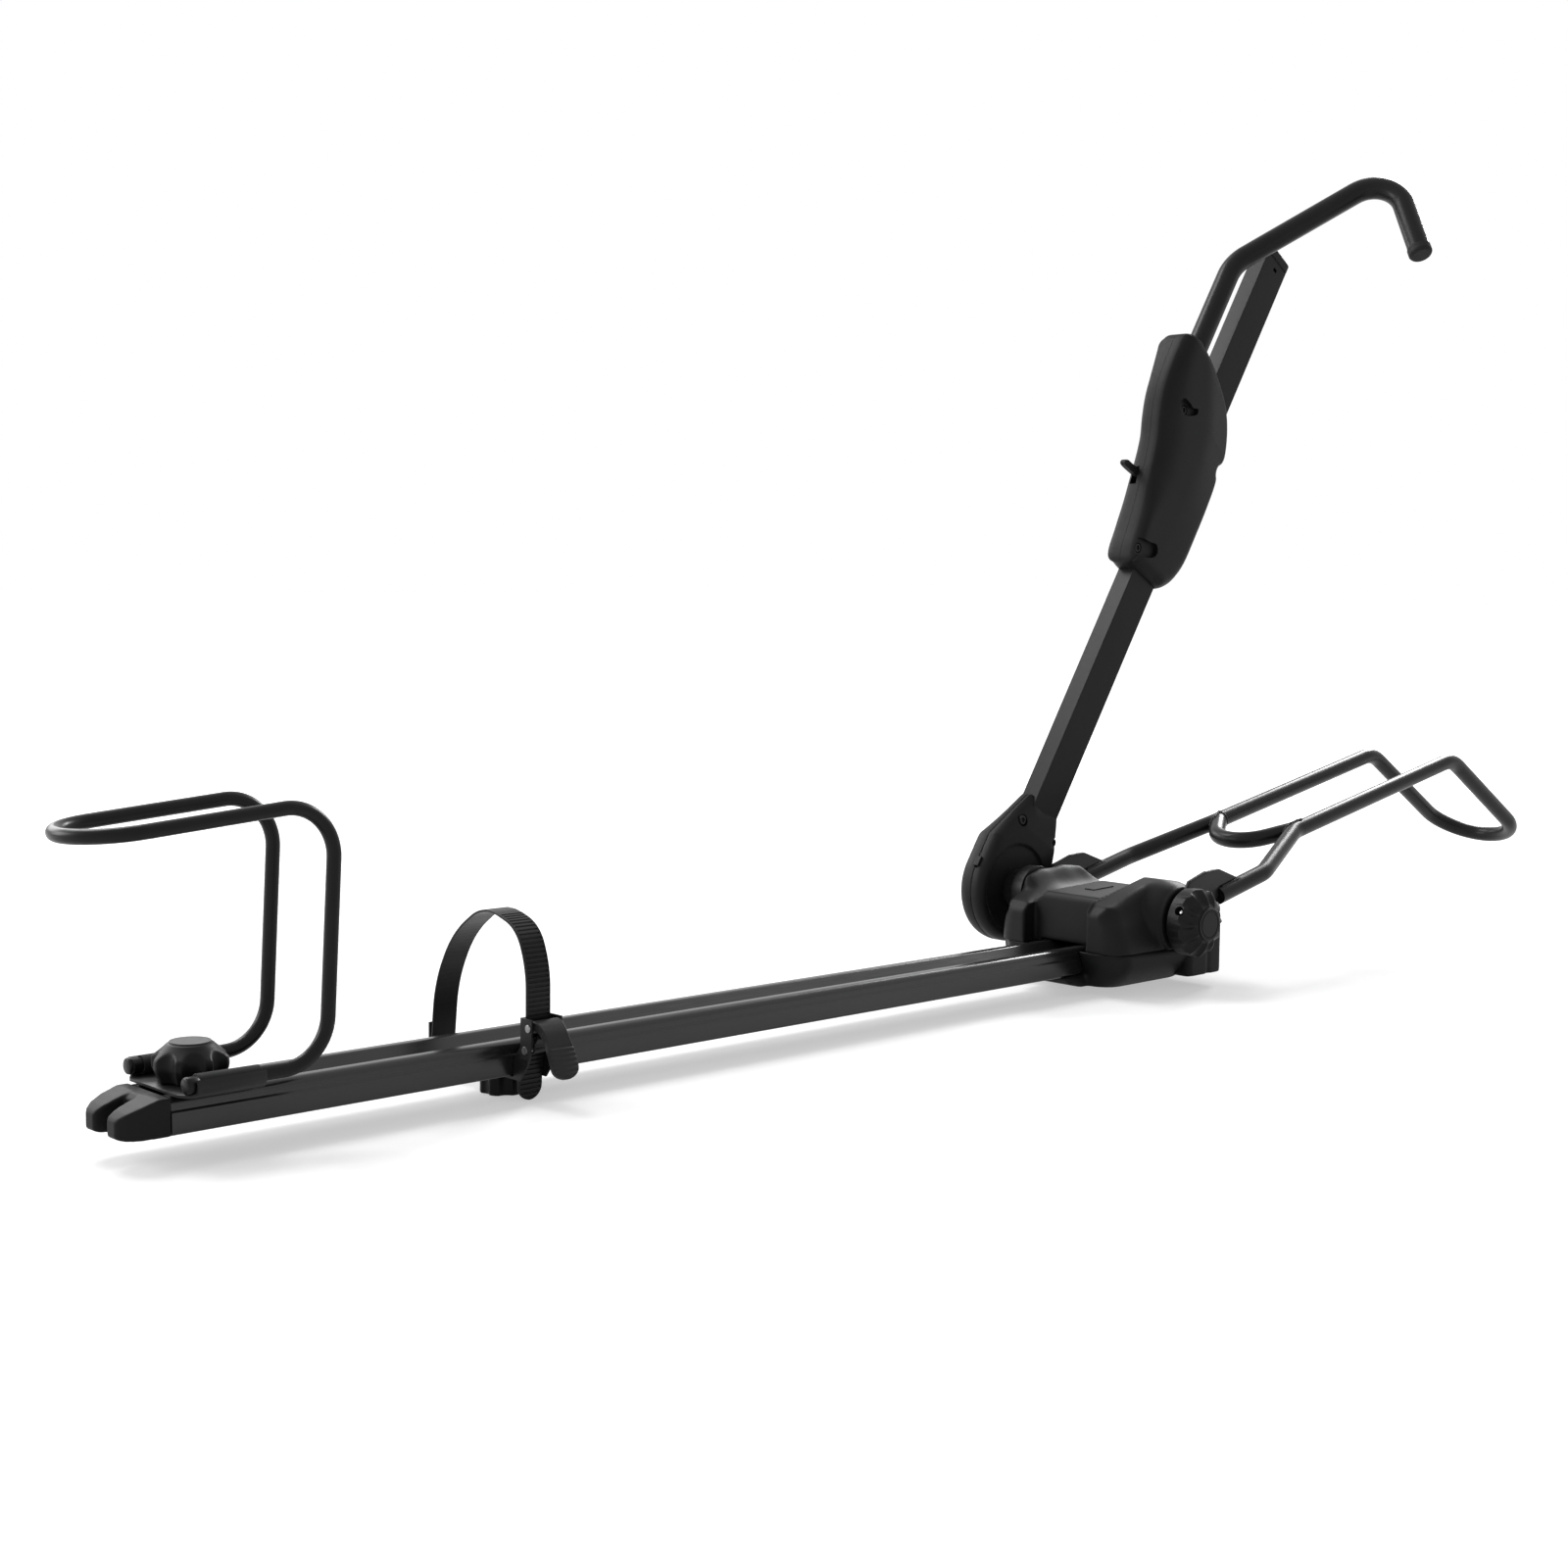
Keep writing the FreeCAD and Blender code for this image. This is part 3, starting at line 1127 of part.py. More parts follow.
# Mast: a rectangular tube with a plug cap
def mast():
    half = S.mast_width / 2
    near, far = MAST_Y - S.mast_depth / 2, MAST_Y + S.mast_depth / 2
    wall = S.mast_wall
    tube = block(-half, half, near, far, S.mast_bottom, S.mast_top)
    hollow = block(wall - half, half - wall, near + wall, far - wall, S.mast_bottom - 1, S.mast_top + 1)
    slot_hole = block(-1.5, 4.5, near - 1, near + wall + 1, S.mast_top - 11.5, S.mast_top - 7.5)
    place_on_mast(keep(shape_feature("tube", tube.cut([hollow, slot_hole])), "mast_tube"))
    lip = 1
    head = block(-half - lip, half + lip, near - lip, far + lip, S.mast_top, S.mast_top + S.mast_cap_height)
    upper = [edge for edge in head.Edges if edge.BoundBox.ZMin > S.mast_top + 1]
    upright = [edge for edge in head.Edges if edge.BoundBox.ZLength > 2]
    head = head.makeFillet(3, upper + upright)
    gap = wall + S.face_gap / 2
    plug = block(gap - half, half - gap, near + gap, far - gap, S.mast_top - 5, S.mast_top)
    place_on_mast(keep(shape_feature("cap_head", head.fuse(plug).removeSplitter()), "mast_top_cap"))


# Slider: two shells on guides, a brake lever with its pin and spring, and the saddle of the hook tube
def slider_outline():
    low, high, front = S.slider_low, S.slider_high, S.slider_front
    return [(13, low), (32, low + 14), (front, low + 36), (front, low + 154), (front - 6, low + 161),
            (front + 1, low + 177), (front - 6, low + 203), (17, low + 223), (-38, high - 8), (-58, high),
            (-88, high), (-94, high - 7), (-85, low + 183), (-67, low + 133), (-48, low + 72), (-39, low + 16),
            (-31, low + 8), (-10, low + 13)]


def shrunk(corners, inset):
    """An outline that turns left all the way round, with each side moved inwards square to itself."""
    drawn = []
    for k, (x, z) in enumerate(corners):
        before = Vector(x - corners[k - 1][0], 0, z - corners[k - 1][1]).normalize()
        after_x, after_z = corners[(k + 1) % len(corners)]
        after = Vector(after_x - x, 0, after_z - z).normalize()
        inward = Vector(-before.z, 0, before.x) + Vector(-after.z, 0, after.x)
        inward = inward * (2 / inward.Length ** 2)
        drawn.append((x + inward.x * inset, z + inward.z * inset))
    return drawn


def slider_half(side, inset):
    """One shell's outside, or its hollow where inset is the wall: crowned in front, thin at its rear edge."""
    depth = S.slider_half - inset
    form = side_prism(shrunk(slider_outline(), inset), *sorted((0, side * depth)))
    low, high = S.slider_low - 20, S.slider_high + 20
    crown, run = S.slider_crown, S.slider_half + 20
    rear = [Vector(2, side * depth, low), Vector(-110, side * (depth - crown - 1.5), low),
            Vector(-110, side * run, low), Vector(2, side * run, low)]
    front = [Vector(10, side * depth, low), Vector(S.slider_front + 7, side * (depth - crown / 2), low),
             Vector(S.slider_front + 7, side * run, low), Vector(10, side * run, low)]
    for corners in (rear, front):
        wedge = Part.Face(Part.makePolygon(corners + corners[:1])).extrude(Vector(0, 0, high - low))
        form = form.cut(wedge)
    return form


LEVER_PIVOT = (-36, 107)
SLIDER_SCREWS = ((-49, 183.5), (-31.5, 21.5))


def slider_spot(across, up):
    return across, S.slider_low + up


def slider_shells():
    mast_way = block(-S.mast_width / 2 - S.face_gap, S.mast_width / 2 + S.face_gap, -S.mast_depth / 2 - S.face_gap,
                     S.mast_depth / 2 + S.face_gap, S.slider_low - 10, S.slider_high + 10)
    tube_way = Part.makeCylinder(S.hook_tube_radius + S.running_fit, S.slider_high + 10 - S.hook_low,
                                 Vector(-S.hook_offset, 0, S.hook_low))
    x, z = slider_spot(*LEVER_PIVOT)
    lever_slot = block(x - 60, x, S.lever_offset - S.lever_half - S.face_gap,
                       S.lever_offset + S.lever_half + S.face_gap, z - 36, z + 6)
    pin_hole = along_y(S.screw_radius + S.running_fit, x, z, 5 - S.slider_half, S.slider_half - 5)
    for side, word in ((-1, "near"), (1, "far")):
        tools = [slider_half(side, S.slider_wall), mast_way, tube_way, lever_slot]
        bosses = []
        for across, up in SLIDER_SCREWS:
            sx, sz = slider_spot(across, up)
            bosses.append(along_y(S.screw_radius + 2.5, sx, sz, *sorted((0, side * (S.slider_half - 6)))))
        shell = slider_half(side, 0).cut(tools)
        boss_fill = [boss.common(slider_half(side, 0)) for boss in bosses]
        shell = shell.fuse(boss_fill)
        for across, up in SLIDER_SCREWS:
            sx, sz = slider_spot(across, up)
            shell = shell.cut(along_y(S.screw_radius + S.running_fit, sx, sz, -S.slider_half - 1,
                                      S.slider_half - 9))
            shell = shell.cut(along_y(S.screw_head_radius + S.face_gap, sx, sz, -S.slider_half - 1,
                                      S.screw_head_height + 6 - S.slider_half))
        shell = shell.cut([pin_hole, tube_way, mast_way])
        obj = keep(shape_feature(f"slider_{word}", shell.removeSplitter()), f"slider_shell_{word}")
        place_on_mast(obj, MAST_MIDDLE)


def slider_screws():
    screws = []
    for across, up in SLIDER_SCREWS:
        x, z = slider_spot(across, up)
        start = 6 - S.slider_half
        head = along_y(S.screw_head_radius, x, z, start, start + S.screw_head_height)
        shank = along_y(S.screw_radius, x, z, start + 1, S.slider_half - 10)
        socket = hexagon(S.screw_radius * 1.6, x, z, start - 1, start + 2)
        screws.append(head.fuse(shank).cut(socket).removeSplitter())
    place_on_mast(keep(shape_feature("slider_screw_pair", Part.makeCompound(screws)), "slider_screws"), MAST_MIDDLE)


def slider_guides():
    half_x, half_y = S.mast_width / 2, S.mast_depth / 2
    rings = []
    for up in (22, 165):
        low = S.slider_low + up
        wall = S.slider_wall + 0.8
        outer = block(-half_x - wall, half_x + wall, -half_y - wall, half_y + wall, low,
                      low + S.slider_guide_length)
        fit = 2 * S.running_fit
        inner = block(-half_x - fit, half_x + fit, -half_y - fit, half_y + fit, low - 1,
                      low + S.slider_guide_length + 1)
        rings.append(outer.cut(inner))
    place_on_mast(keep(shape_feature("guide_pair", Part.makeCompound(rings)), "slider_guides"), MAST_MIDDLE)


def brake_lever():
    x, z = slider_spot(*LEVER_PIVOT)
    y0, y1 = S.lever_offset - S.lever_half, S.lever_offset + S.lever_half
    outline = [(x + 4, z - 4), (x + 13, z + 6), (-S.mast_width / 2 - 2 * S.face_gap, z + 7),
               (-S.mast_width / 2 - 2 * S.face_gap, z + 12), (x + 8, z + 13), (x - 4, z + 4.5), (x - 34, z - 6),
               (x - 48, z - 8), (x - 49, z - 13), (x - 36, z - 14), (x - 8, z - 7)]
    arm = side_prism(outline, y0, y1)
    hub = along_y(S.screw_radius + 3, x, z, y0, y1)
    hole = along_y(S.screw_radius + S.running_fit, x, z, y0 - 1, y1 + 1)
    place_on_mast(keep(shape_feature("lever_form", arm.fuse(hub).cut(hole).removeSplitter()), "release_lever"),
                  MAST_MIDDLE)
    pin = along_y(S.screw_radius, x, z, 5 + S.face_gap - S.slider_half, S.slider_half - 5 - S.face_gap)
    place_on_mast(keep(shape_feature("lever_cross_pin", pin), "lever_pin"), MAST_MIDDLE)
    spring_end = y0 - S.face_gap
    spring = along_y(S.screw_radius + 2, x, z, spring_end - 2 * S.lever_half, spring_end)
    bore = along_y(S.screw_radius + S.running_fit, x, z, spring_end - 3 * S.lever_half, y0)
    place_on_mast(keep(shape_feature("spring_sleeve", spring.cut(bore)), "lever_spring"), MAST_MIDDLE)


def hook_saddle():
    tube = Part.makeCylinder(S.hook_tube_radius, 90, Vector(-S.hook_offset, 0, S.hook_low - 20))
    half_y = S.mast_depth / 2 - 1
    saddle = block(7.6 - S.hook_offset, S.hook_tube_radius + 14 - S.hook_offset, -half_y, half_y,
                   S.hook_low + 4, S.hook_low + 32)
    place_on_mast(keep(shape_feature("saddle", saddle.cut(tube)), "hook_saddle"), MAST_MIDDLE)


def mast_point(across, out, along):
    """A point on the mast's axes: across, out towards the rail, and along, from the hinge."""
    turn = math.radians(S.mast_tilt)
    return Vector(S.hinge_x + across * math.cos(turn) + along * math.sin(turn), MAST_Y - out,
                  S.hinge_z - across * math.sin(turn) + along * math.cos(turn))


def hook():
    turn = math.radians(S.hook_turn)

    def spot(out, along):
        return mast_point(-S.hook_offset + out * math.sin(turn), out * math.cos(turn), along)
    corners = [spot(0, S.hook_low), spot(0, S.hook_bend_along), spot(S.hook_top_out, S.hook_top_along),
               spot(S.hook_end_out, S.hook_end_along)]
    edges = rounded_path(corners, [S.hook_bend * 1.4, S.hook_bend])
    rod = bent_rod("hook_rod", edges, "hook_tube_radius")
    bore = bent_rod("hook_bore", edges, "hook_tube_radius - hook_tube_wall")
    keep(cut("hook_bent_tube", rod, bore), "hook_tube")
    way = (corners[3] - corners[2]).normalize()
    plug = Part.makeCylinder(S.hook_tube_radius + 0.8, S.hook_plug_length, corners[3], way)
    rim = [edge for edge in plug.Edges if edge.Closed and (edge.CenterOfMass - corners[3]).dot(way) > 1]
    keep(shape_feature("plug", plug.makeFillet(4, rim)), "hook_tip_plug")


rail()
rail_end_cap()
rear_hoop()
hoop_sleeves()
hoop_bracket()
hoop_clamp()
hoop_knob()
wheel_strap()
strap_bracket()
strap_clamp()
buckle()
buckle_levers()
base_lower_shell()
base_cover()
base_frame()
front_foot()
base_fasteners()
pivot_bolt()
cradle_knob()
cradle()
hinge_core()
hinge_housing()
mast()
slider_shells()
slider_screws()
slider_guides()
brake_lever()
hook_saddle()
hook()

doc.recompute()
for obj in doc.Objects:
    if "Invalid" in obj.State or "Error" in obj.State:
        raise RuntimeError(f"{obj.Name} failed: {obj.State}")
for obj in nodes:
    if obj.Shape.isNull() or not obj.Shape.isValid():
        raise RuntimeError(f"{obj.Label} has no valid solid")
for obj in nodes:
    shape = obj.Shape
    print(f"{obj.Label}: {len(shape.Solids)} solids, {shape.Volume / 1000:.1f} cm3")
    shape.exportStep(f"parts/{obj.Label}.step")
print(f"{len(nodes)} sub-parts")
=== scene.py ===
# %% [markdown]
# Folding bike carrier, dressed for a studio picture
#
# The carrier sits on a roof bar and holds one bike by its wheels: a long rail, a hoop and a strap for the rear
# wheel, a cradle for the front wheel, and a mast with a sliding hook that presses down on the tyre.
# The CAD model gives every piece its place and size. This script gives the pieces their looks: coatings,
# grain, soft moulded edges, ribs and weld beads, and then a pale studio with a camera.
# Lengths are written in millimetres in the part's own frame, because the real pieces are measured so,
# and turned into metres where a mesh is made. +X runs along the rail towards the cradle, +Y towards the
# mast and +Z up. "Near" is the camera's side, -Y, and "far" is the mast's side.

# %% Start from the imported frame
import json
import math

import bmesh
import bpy
from mathutils import Matrix, Vector

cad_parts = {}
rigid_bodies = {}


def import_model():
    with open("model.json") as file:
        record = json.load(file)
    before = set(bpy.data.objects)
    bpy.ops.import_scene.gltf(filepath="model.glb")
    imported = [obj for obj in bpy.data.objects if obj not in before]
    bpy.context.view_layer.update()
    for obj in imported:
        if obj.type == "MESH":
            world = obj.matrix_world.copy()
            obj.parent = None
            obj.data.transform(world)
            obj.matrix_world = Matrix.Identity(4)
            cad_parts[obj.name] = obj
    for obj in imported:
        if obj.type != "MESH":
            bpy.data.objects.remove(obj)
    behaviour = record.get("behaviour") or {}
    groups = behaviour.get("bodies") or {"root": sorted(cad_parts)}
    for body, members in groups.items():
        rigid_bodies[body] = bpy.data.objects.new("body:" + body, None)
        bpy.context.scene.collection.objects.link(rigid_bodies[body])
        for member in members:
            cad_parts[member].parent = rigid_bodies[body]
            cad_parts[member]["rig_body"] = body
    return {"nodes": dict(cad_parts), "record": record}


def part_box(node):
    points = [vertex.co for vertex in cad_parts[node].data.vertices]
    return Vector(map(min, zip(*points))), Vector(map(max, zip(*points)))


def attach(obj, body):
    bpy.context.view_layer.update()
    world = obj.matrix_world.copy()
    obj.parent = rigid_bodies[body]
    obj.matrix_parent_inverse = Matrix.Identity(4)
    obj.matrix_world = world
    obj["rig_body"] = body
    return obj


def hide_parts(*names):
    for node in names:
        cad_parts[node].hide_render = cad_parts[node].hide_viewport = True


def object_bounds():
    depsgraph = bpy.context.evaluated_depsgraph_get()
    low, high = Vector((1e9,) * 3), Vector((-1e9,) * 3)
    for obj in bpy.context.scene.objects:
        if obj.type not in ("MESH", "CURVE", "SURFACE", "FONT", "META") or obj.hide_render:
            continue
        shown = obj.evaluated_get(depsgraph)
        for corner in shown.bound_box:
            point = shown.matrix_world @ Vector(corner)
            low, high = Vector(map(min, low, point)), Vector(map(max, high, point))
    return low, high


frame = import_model()
frame_box = [list(corner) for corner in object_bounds()]
nodes = frame["nodes"]
parts = {part["node"]: part for part in frame["record"]["subparts"]}
MM = 0.001

# %% [markdown]
# The grain of a coating
#
# No real surface has one flat colour or one even gloss: powder coat has a fine grain, and its grey wanders a
# little from patch to patch. A painted image could show that, but it would have seams and one fixed size.
# Noise is used instead. It reads object coordinates, which are the part's own metres, so the grain has a real
# size and doesn't stretch over a piece.

# %% Shader nodes for grain
FINE_GRAIN = 900


def add(tree, kind, x, y, **inputs):
    """A new shader node at a place in the node editor, with its inputs given by name."""
    node = tree.nodes.new(kind)
    node.location = (x, y)
    for name, value in inputs.items():
        node.inputs[name.replace("_", " ")].default_value = value
    return node


def noise(tree, space, scale, detail, x, y, stretch=(1, 1, 1)):
    """Noise of that many lumps per metre, drawn out along an axis where stretch is under 1."""
    mapping = add(tree, "ShaderNodeMapping", x - 200, y, Scale=stretch)
    tree.links.new(space.outputs["Object"], mapping.inputs["Vector"])
    node = add(tree, "ShaderNodeTexNoise", x, y, Scale=scale, Detail=detail, Roughness=0.6)
    tree.links.new(mapping.outputs["Vector"], node.inputs["Vector"])
    return node.outputs["Fac"]


def spread(tree, source, low, high, x, y, ends=(0.3, 0.7)):
    """Turn noise, which stays near a half, into values between low and high."""
    node = add(tree, "ShaderNodeMapRange", x, y, From_Min=ends[0], From_Max=ends[1], To_Min=low, To_Max=high)
    tree.links.new(source, node.inputs["Value"])
    return node.outputs["Result"]


print("one lump of fine grain is", round(1 / MM / FINE_GRAIN, 1), "mm wide")

# %% [markdown]
# One recipe for every coating
#
# Powder coat, anodised aluminium and moulded plastic differ in grey, gloss and grain, but not in how they are
# built up: a grey that wanders between two ends, lighter scuffs where hands and straps rub, a roughness that
# follows the grain, and a bump of the same grain. So one function makes them all. A black part is never
# pure black: the coats are very dark greys, and a low specular level keeps the white studio out of them.

# %% A coating
SCUFFS_PER_PATCH = 9
SCUFF_LIGHTER = 2.2
GRAIN_DEPTH = 0.0004


def mix_colours(tree, factor, first, second, x, y):
    """A colour between two: first is a plain colour or another node's output, second a plain colour."""
    mix = add(tree, "ShaderNodeMix", x, y)
    mix.data_type = "RGBA"
    tree.links.new(factor, mix.inputs["Factor"])
    if isinstance(first, list):
        mix.inputs[6].default_value = first
    else:
        tree.links.new(first, mix.inputs[6])
    mix.inputs[7].default_value = second
    return mix.outputs[2]


def coating(name, dark, light, rough, grain=FINE_GRAIN, bump=0.06, patch=14, metallic=0.0, specular=0.5,
            stretch=(1, 1, 1), wear=0.0, tint=(1.0, 1.0, 1.03)):
    """A coating: dark and light are the ends of its grey, rough the ends of its roughness."""
    def tinted(grey):
        return [grey * part for part in tint] + [1]

    material = bpy.data.materials.new(name)
    material.use_nodes = True
    tree = material.node_tree
    surface = tree.nodes["Principled BSDF"]
    surface.inputs["Metallic"].default_value = metallic
    surface.inputs["Specular IOR Level"].default_value = specular
    space = add(tree, "ShaderNodeTexCoord", -1300, 0)
    patches = noise(tree, space, patch, 4, -900, 300, stretch)
    grains = noise(tree, space, grain, 3, -900, -100, stretch)
    share = spread(tree, patches, 0, 1, -650, 300)
    colour = mix_colours(tree, share, tinted(dark), tinted(light), -400, 300)
    if wear:
        scuffs = noise(tree, space, patch * SCUFFS_PER_PATCH, 8, -900, 650, stretch)
        worn = spread(tree, scuffs, 0, wear, -650, 650, ends=(0.66, 0.74))
        colour = mix_colours(tree, worn, colour, tinted(light * SCUFF_LIGHTER), -150, 450)
    tree.links.new(colour, surface.inputs["Base Color"])
    tree.links.new(spread(tree, grains, rough[0], rough[1], -650, -100), surface.inputs["Roughness"])
    relief = add(tree, "ShaderNodeBump", -250, -300, Strength=bump, Distance=GRAIN_DEPTH)
    tree.links.new(grains, relief.inputs["Height"])
    tree.links.new(relief.outputs["Normal"], surface.inputs["Normal"])
    return material


print("scuffs are", SCUFF_LIGHTER, "times as light as the coat")

# %% [markdown]
# The coats of the carrier
#
# The rail is anodised, so its grain is drawn out along its length. The bent tubes are powder coated and a
# little glossy, the square mast has a flatter coat, and plates and brackets are duller still. Mouldings have
# the coarsest grain. Nuts, studs and axles are bare zinc, which is the only metallic coat: paint hides
# metal, so a painted tube is not metallic.

# %% Eleven coats
COATS = {
    "rail_aluminium": dict(dark=0.010, light=0.014, rough=(0.20, 0.27), grain=700, bump=0.03, patch=5,
                           stretch=(0.05, 1, 1), specular=0.42, wear=0.05),
    "black_tube": dict(dark=0.009, light=0.013, rough=(0.28, 0.35), grain=1100, bump=0.05, patch=16,
                       specular=0.14, wear=0.1),
    "black_steel": dict(dark=0.011, light=0.016, rough=(0.34, 0.44), bump=0.10, patch=20, specular=0.2,
                        wear=0.25),
    "black_moulding": dict(dark=0.009, light=0.012, rough=(0.44, 0.56), grain=1500, bump=0.14, patch=12,
                           specular=0.11, wear=0.1),
    "knob_plastic": dict(dark=0.007, light=0.010, rough=(0.36, 0.48), grain=1300, bump=0.12, patch=25,
                         specular=0.13),
    "insert_plastic": dict(dark=0.055, light=0.075, rough=(0.36, 0.44), grain=1300, patch=40, specular=0.15),
    "strap_plastic": dict(dark=0.010, light=0.014, rough=(0.30, 0.42), grain=800, bump=0.08, patch=60,
                          specular=0.16),
    "soft_rubber": dict(dark=0.010, light=0.014, rough=(0.60, 0.74), grain=1600, bump=0.2, patch=40,
                        specular=0.2),
    "zinc_steel": dict(dark=0.36, light=0.48, rough=(0.24, 0.38), grain=600, bump=0.05, patch=90,
                       metallic=1.0),
    "mast_coat": dict(dark=0.009, light=0.012, rough=(0.30, 0.38), grain=1100, bump=0.08, patch=10,
                      specular=0.09, stretch=(1, 1, 0.3), wear=0.1),
    "friction_disc": dict(dark=0.05, light=0.08, rough=(0.7, 0.85), bump=0.4, patch=120, specular=0.3,
                          tint=(1.1, 1.0, 0.85)),
}
MATERIALS = {name: coating(name, **look) for name, look in COATS.items()}
print(len(MATERIALS), "coatings")

# %% [markdown]
# Edges that catch the light
#
# A real edge is never a knife edge: it is a small round that catches a thin line of light. The CAD nodes
# arrive as triangles with split edges, so each is welded, its sharp edges are bevelled, and its normals
# are weighted by area, which keeps flat faces flat beside the rounds. A few moulded pieces want more than a
# bevel, so they become an even skin that is then relaxed. Modifiers do both, and the nodes' own points stay.

# %% Paint, soften and mould
WELD_REACH = 0.02
EDGE_ROUND = 0.3


def paint(piece, slot, coat=None):
    """Give a piece the coating of its record slot, or the coat given instead."""
    piece.data.materials.clear()
    piece.data.materials.append(MATERIALS[coat or slot])


def add_weld(piece):
    weld = piece.modifiers.new("Weld", "WELD")
    weld.merge_threshold = WELD_REACH * MM


def soften(piece, width, segments=2, angle=32):
    """Round a piece's sharp edges by width millimetres and shade it smoothly."""
    piece.data.shade_smooth()
    add_weld(piece)
    bevel = piece.modifiers.new("Bevel", "BEVEL")
    bevel.width = width * MM
    bevel.segments = segments
    bevel.limit_method = "ANGLE"
    bevel.angle_limit = math.radians(angle)
    bevel.harden_normals = False
    bevel.miter_outer = "MITER_ARC"
    shading = piece.modifiers.new("Normals", "WEIGHTED_NORMAL")
    shading.keep_sharp = True


def mould(piece, voxel, rounds):
    """Rebuild a piece as an even skin and relax it, which leaves the soft edges of a moulding."""
    piece.data.shade_smooth()
    add_weld(piece)
    skin = piece.modifiers.new("Skin", "REMESH")
    skin.mode = "VOXEL"
    skin.voxel_size = voxel * MM
    skin.use_smooth_shade = True
    easing = piece.modifiers.new("Relax", "SMOOTH")
    easing.factor = 0.5
    easing.iterations = rounds


print("edges are rounded by", EDGE_ROUND, "mm")

# %% [markdown]
# Dress every CAD node
#
# Each node gets the coat of its slot. Only the mast has a coat of its own, flatter than that of the bent
# tubes. The loader hands every node over with fixed normals. These go first, because they would hold on to
# the old flat faces when the bevels arrive.

# %% Coats and edges for all nodes
# Each moulded node has the size of its skin's squares in millimetres and its rounds of relaxing.
MOULDED = {"front_foot": (1.5, 8), "strap_knob": (0.9, 6), "mast_top_cap": (1.0, 6),
           "cradle_plate_near": (0.8, 10), "cradle_plate_far": (0.8, 10)}
OWN_COAT = {"mast_tube": "mast_coat"}
for name, part in parts.items():
    node = nodes[name]
    if node.data.has_custom_normals:
        with bpy.context.temp_override(object=node, active_object=node, selected_objects=[node]):
            bpy.ops.mesh.customdata_custom_splitnormals_clear()
    paint(node, part["material_slot"], OWN_COAT.get(name))
    if name in MOULDED:
        mould(node, *MOULDED[name])
    else:
        soften(node, EDGE_ROUND)
print("moulded", len(MOULDED), "nodes and softened", len(parts) - len(MOULDED))

# %% [markdown]
# New pieces that stand for CAD nodes
#
# Some forms are too soft or too fine for the CAD model: a crowned shell, ribs, dished petals. Moving the
# points of a CAD node would spoil it, so such a piece is made anew and stands for its node: it rides on the
# same body, takes the same slot, and the node steps back. Every new mesh comes from one function, which
# merges doubled points and turns all faces outwards, so that no piece has a hole or an inside-out face.

# %% A mesh from points
def new_piece(name, points, faces, merge=0.005):
    """A closed mesh from points in millimetres, where points closer than merge become one."""
    mesh = bpy.data.meshes.new(name)
    mesh.from_pydata([Vector(point) * MM for point in points], [], faces)
    clean = bmesh.new()
    clean.from_mesh(mesh)
    bmesh.ops.remove_doubles(clean, verts=clean.verts, dist=merge * MM)
    bmesh.ops.recalc_face_normals(clean, faces=clean.faces)
    clean.to_mesh(mesh)
    clean.free()
    piece = bpy.data.objects.new(name, mesh)
    bpy.context.scene.collection.objects.link(piece)
    return piece


def stand_for(piece, node_name, slot=None):
    """Let a piece stand for a CAD node: same body, and the same slot unless another is given."""
    paint(piece, slot or parts[node_name]["material_slot"])
    piece.data.shade_smooth()
    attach(piece, nodes[node_name]["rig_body"])
    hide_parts(node_name)
    return piece


def keep_sharp(piece, degrees):
    """Shade smoothly over edges that turn by less than this, and keep the others crisp."""
    piece.data.set_sharp_from_angle(angle=math.radians(degrees))


# %% [markdown]
# Join, cut and skin
#
# A sculptor would push the shell about by hand, but then nobody could repeat it. Here each step is a
# modifier that is applied at once: a Boolean cuts one piece out of another, and a Remesh turns any surface
# into small even squares. Even squares matter, because the next step moves every point by a rule, and long
# thin triangles from CAD would crease where the squares bend.

# %% Settle, unite, carve and skin
def settle(piece):
    """Turn a piece's modifiers into its mesh."""
    graph = bpy.context.evaluated_depsgraph_get()
    mesh = bpy.data.meshes.new_from_object(piece.evaluated_get(graph))
    piece.modifiers.clear()
    old = piece.data
    piece.data = mesh
    bpy.data.meshes.remove(old)


def unite(piece, others):
    """Take other pieces' meshes into a piece, as they are."""
    whole = bmesh.new()
    whole.from_mesh(piece.data)
    for other in others:
        whole.from_mesh(other.data)
        bpy.data.objects.remove(other)
    whole.to_mesh(piece.data)
    whole.free()


def carve(piece, cutters):
    """Cut other pieces out of a piece."""
    for cutter in cutters:
        cut = piece.modifiers.new("Cut", "BOOLEAN")
        cut.operation = "DIFFERENCE"
        cut.solver = "EXACT"
        cut.object = cutter
    settle(piece)
    for cutter in cutters:
        bpy.data.objects.remove(cutter)


def even_skin(piece, voxel):
    """Turn a piece's surface into small even squares."""
    skin = piece.modifiers.new("Skin", "REMESH")
    skin.mode = "VOXEL"
    skin.voxel_size = voxel * MM
    settle(piece)


def skin_of(node_name, voxel, added=()):
    """An even skin over a CAD node and any added pieces, as a new piece that stands for the node."""
    copy = bpy.data.objects.new(node_name + "_skin", nodes[node_name].data.copy())
    bpy.context.scene.collection.objects.link(copy)
    add_weld(copy)
    settle(copy)
    unite(copy, added)
    even_skin(copy, voxel)
    return stand_for(copy, node_name)


print("the CAD cover has", len(nodes["base_cover"].data.polygons), "triangles")

# %% [markdown]
# Move and relax a skin
#
# A moulding's wall leans so that it leaves its mould, and its faces are crowned so that they don't look
# sunken. Both are plain rules: a function takes a point and gives its new place. A soft step fades such a
# rule in and out, because a sudden start would show as a line. Relaxing then rounds what is left, and a
# weight says where, so that a fitted edge such as a seam stays true.

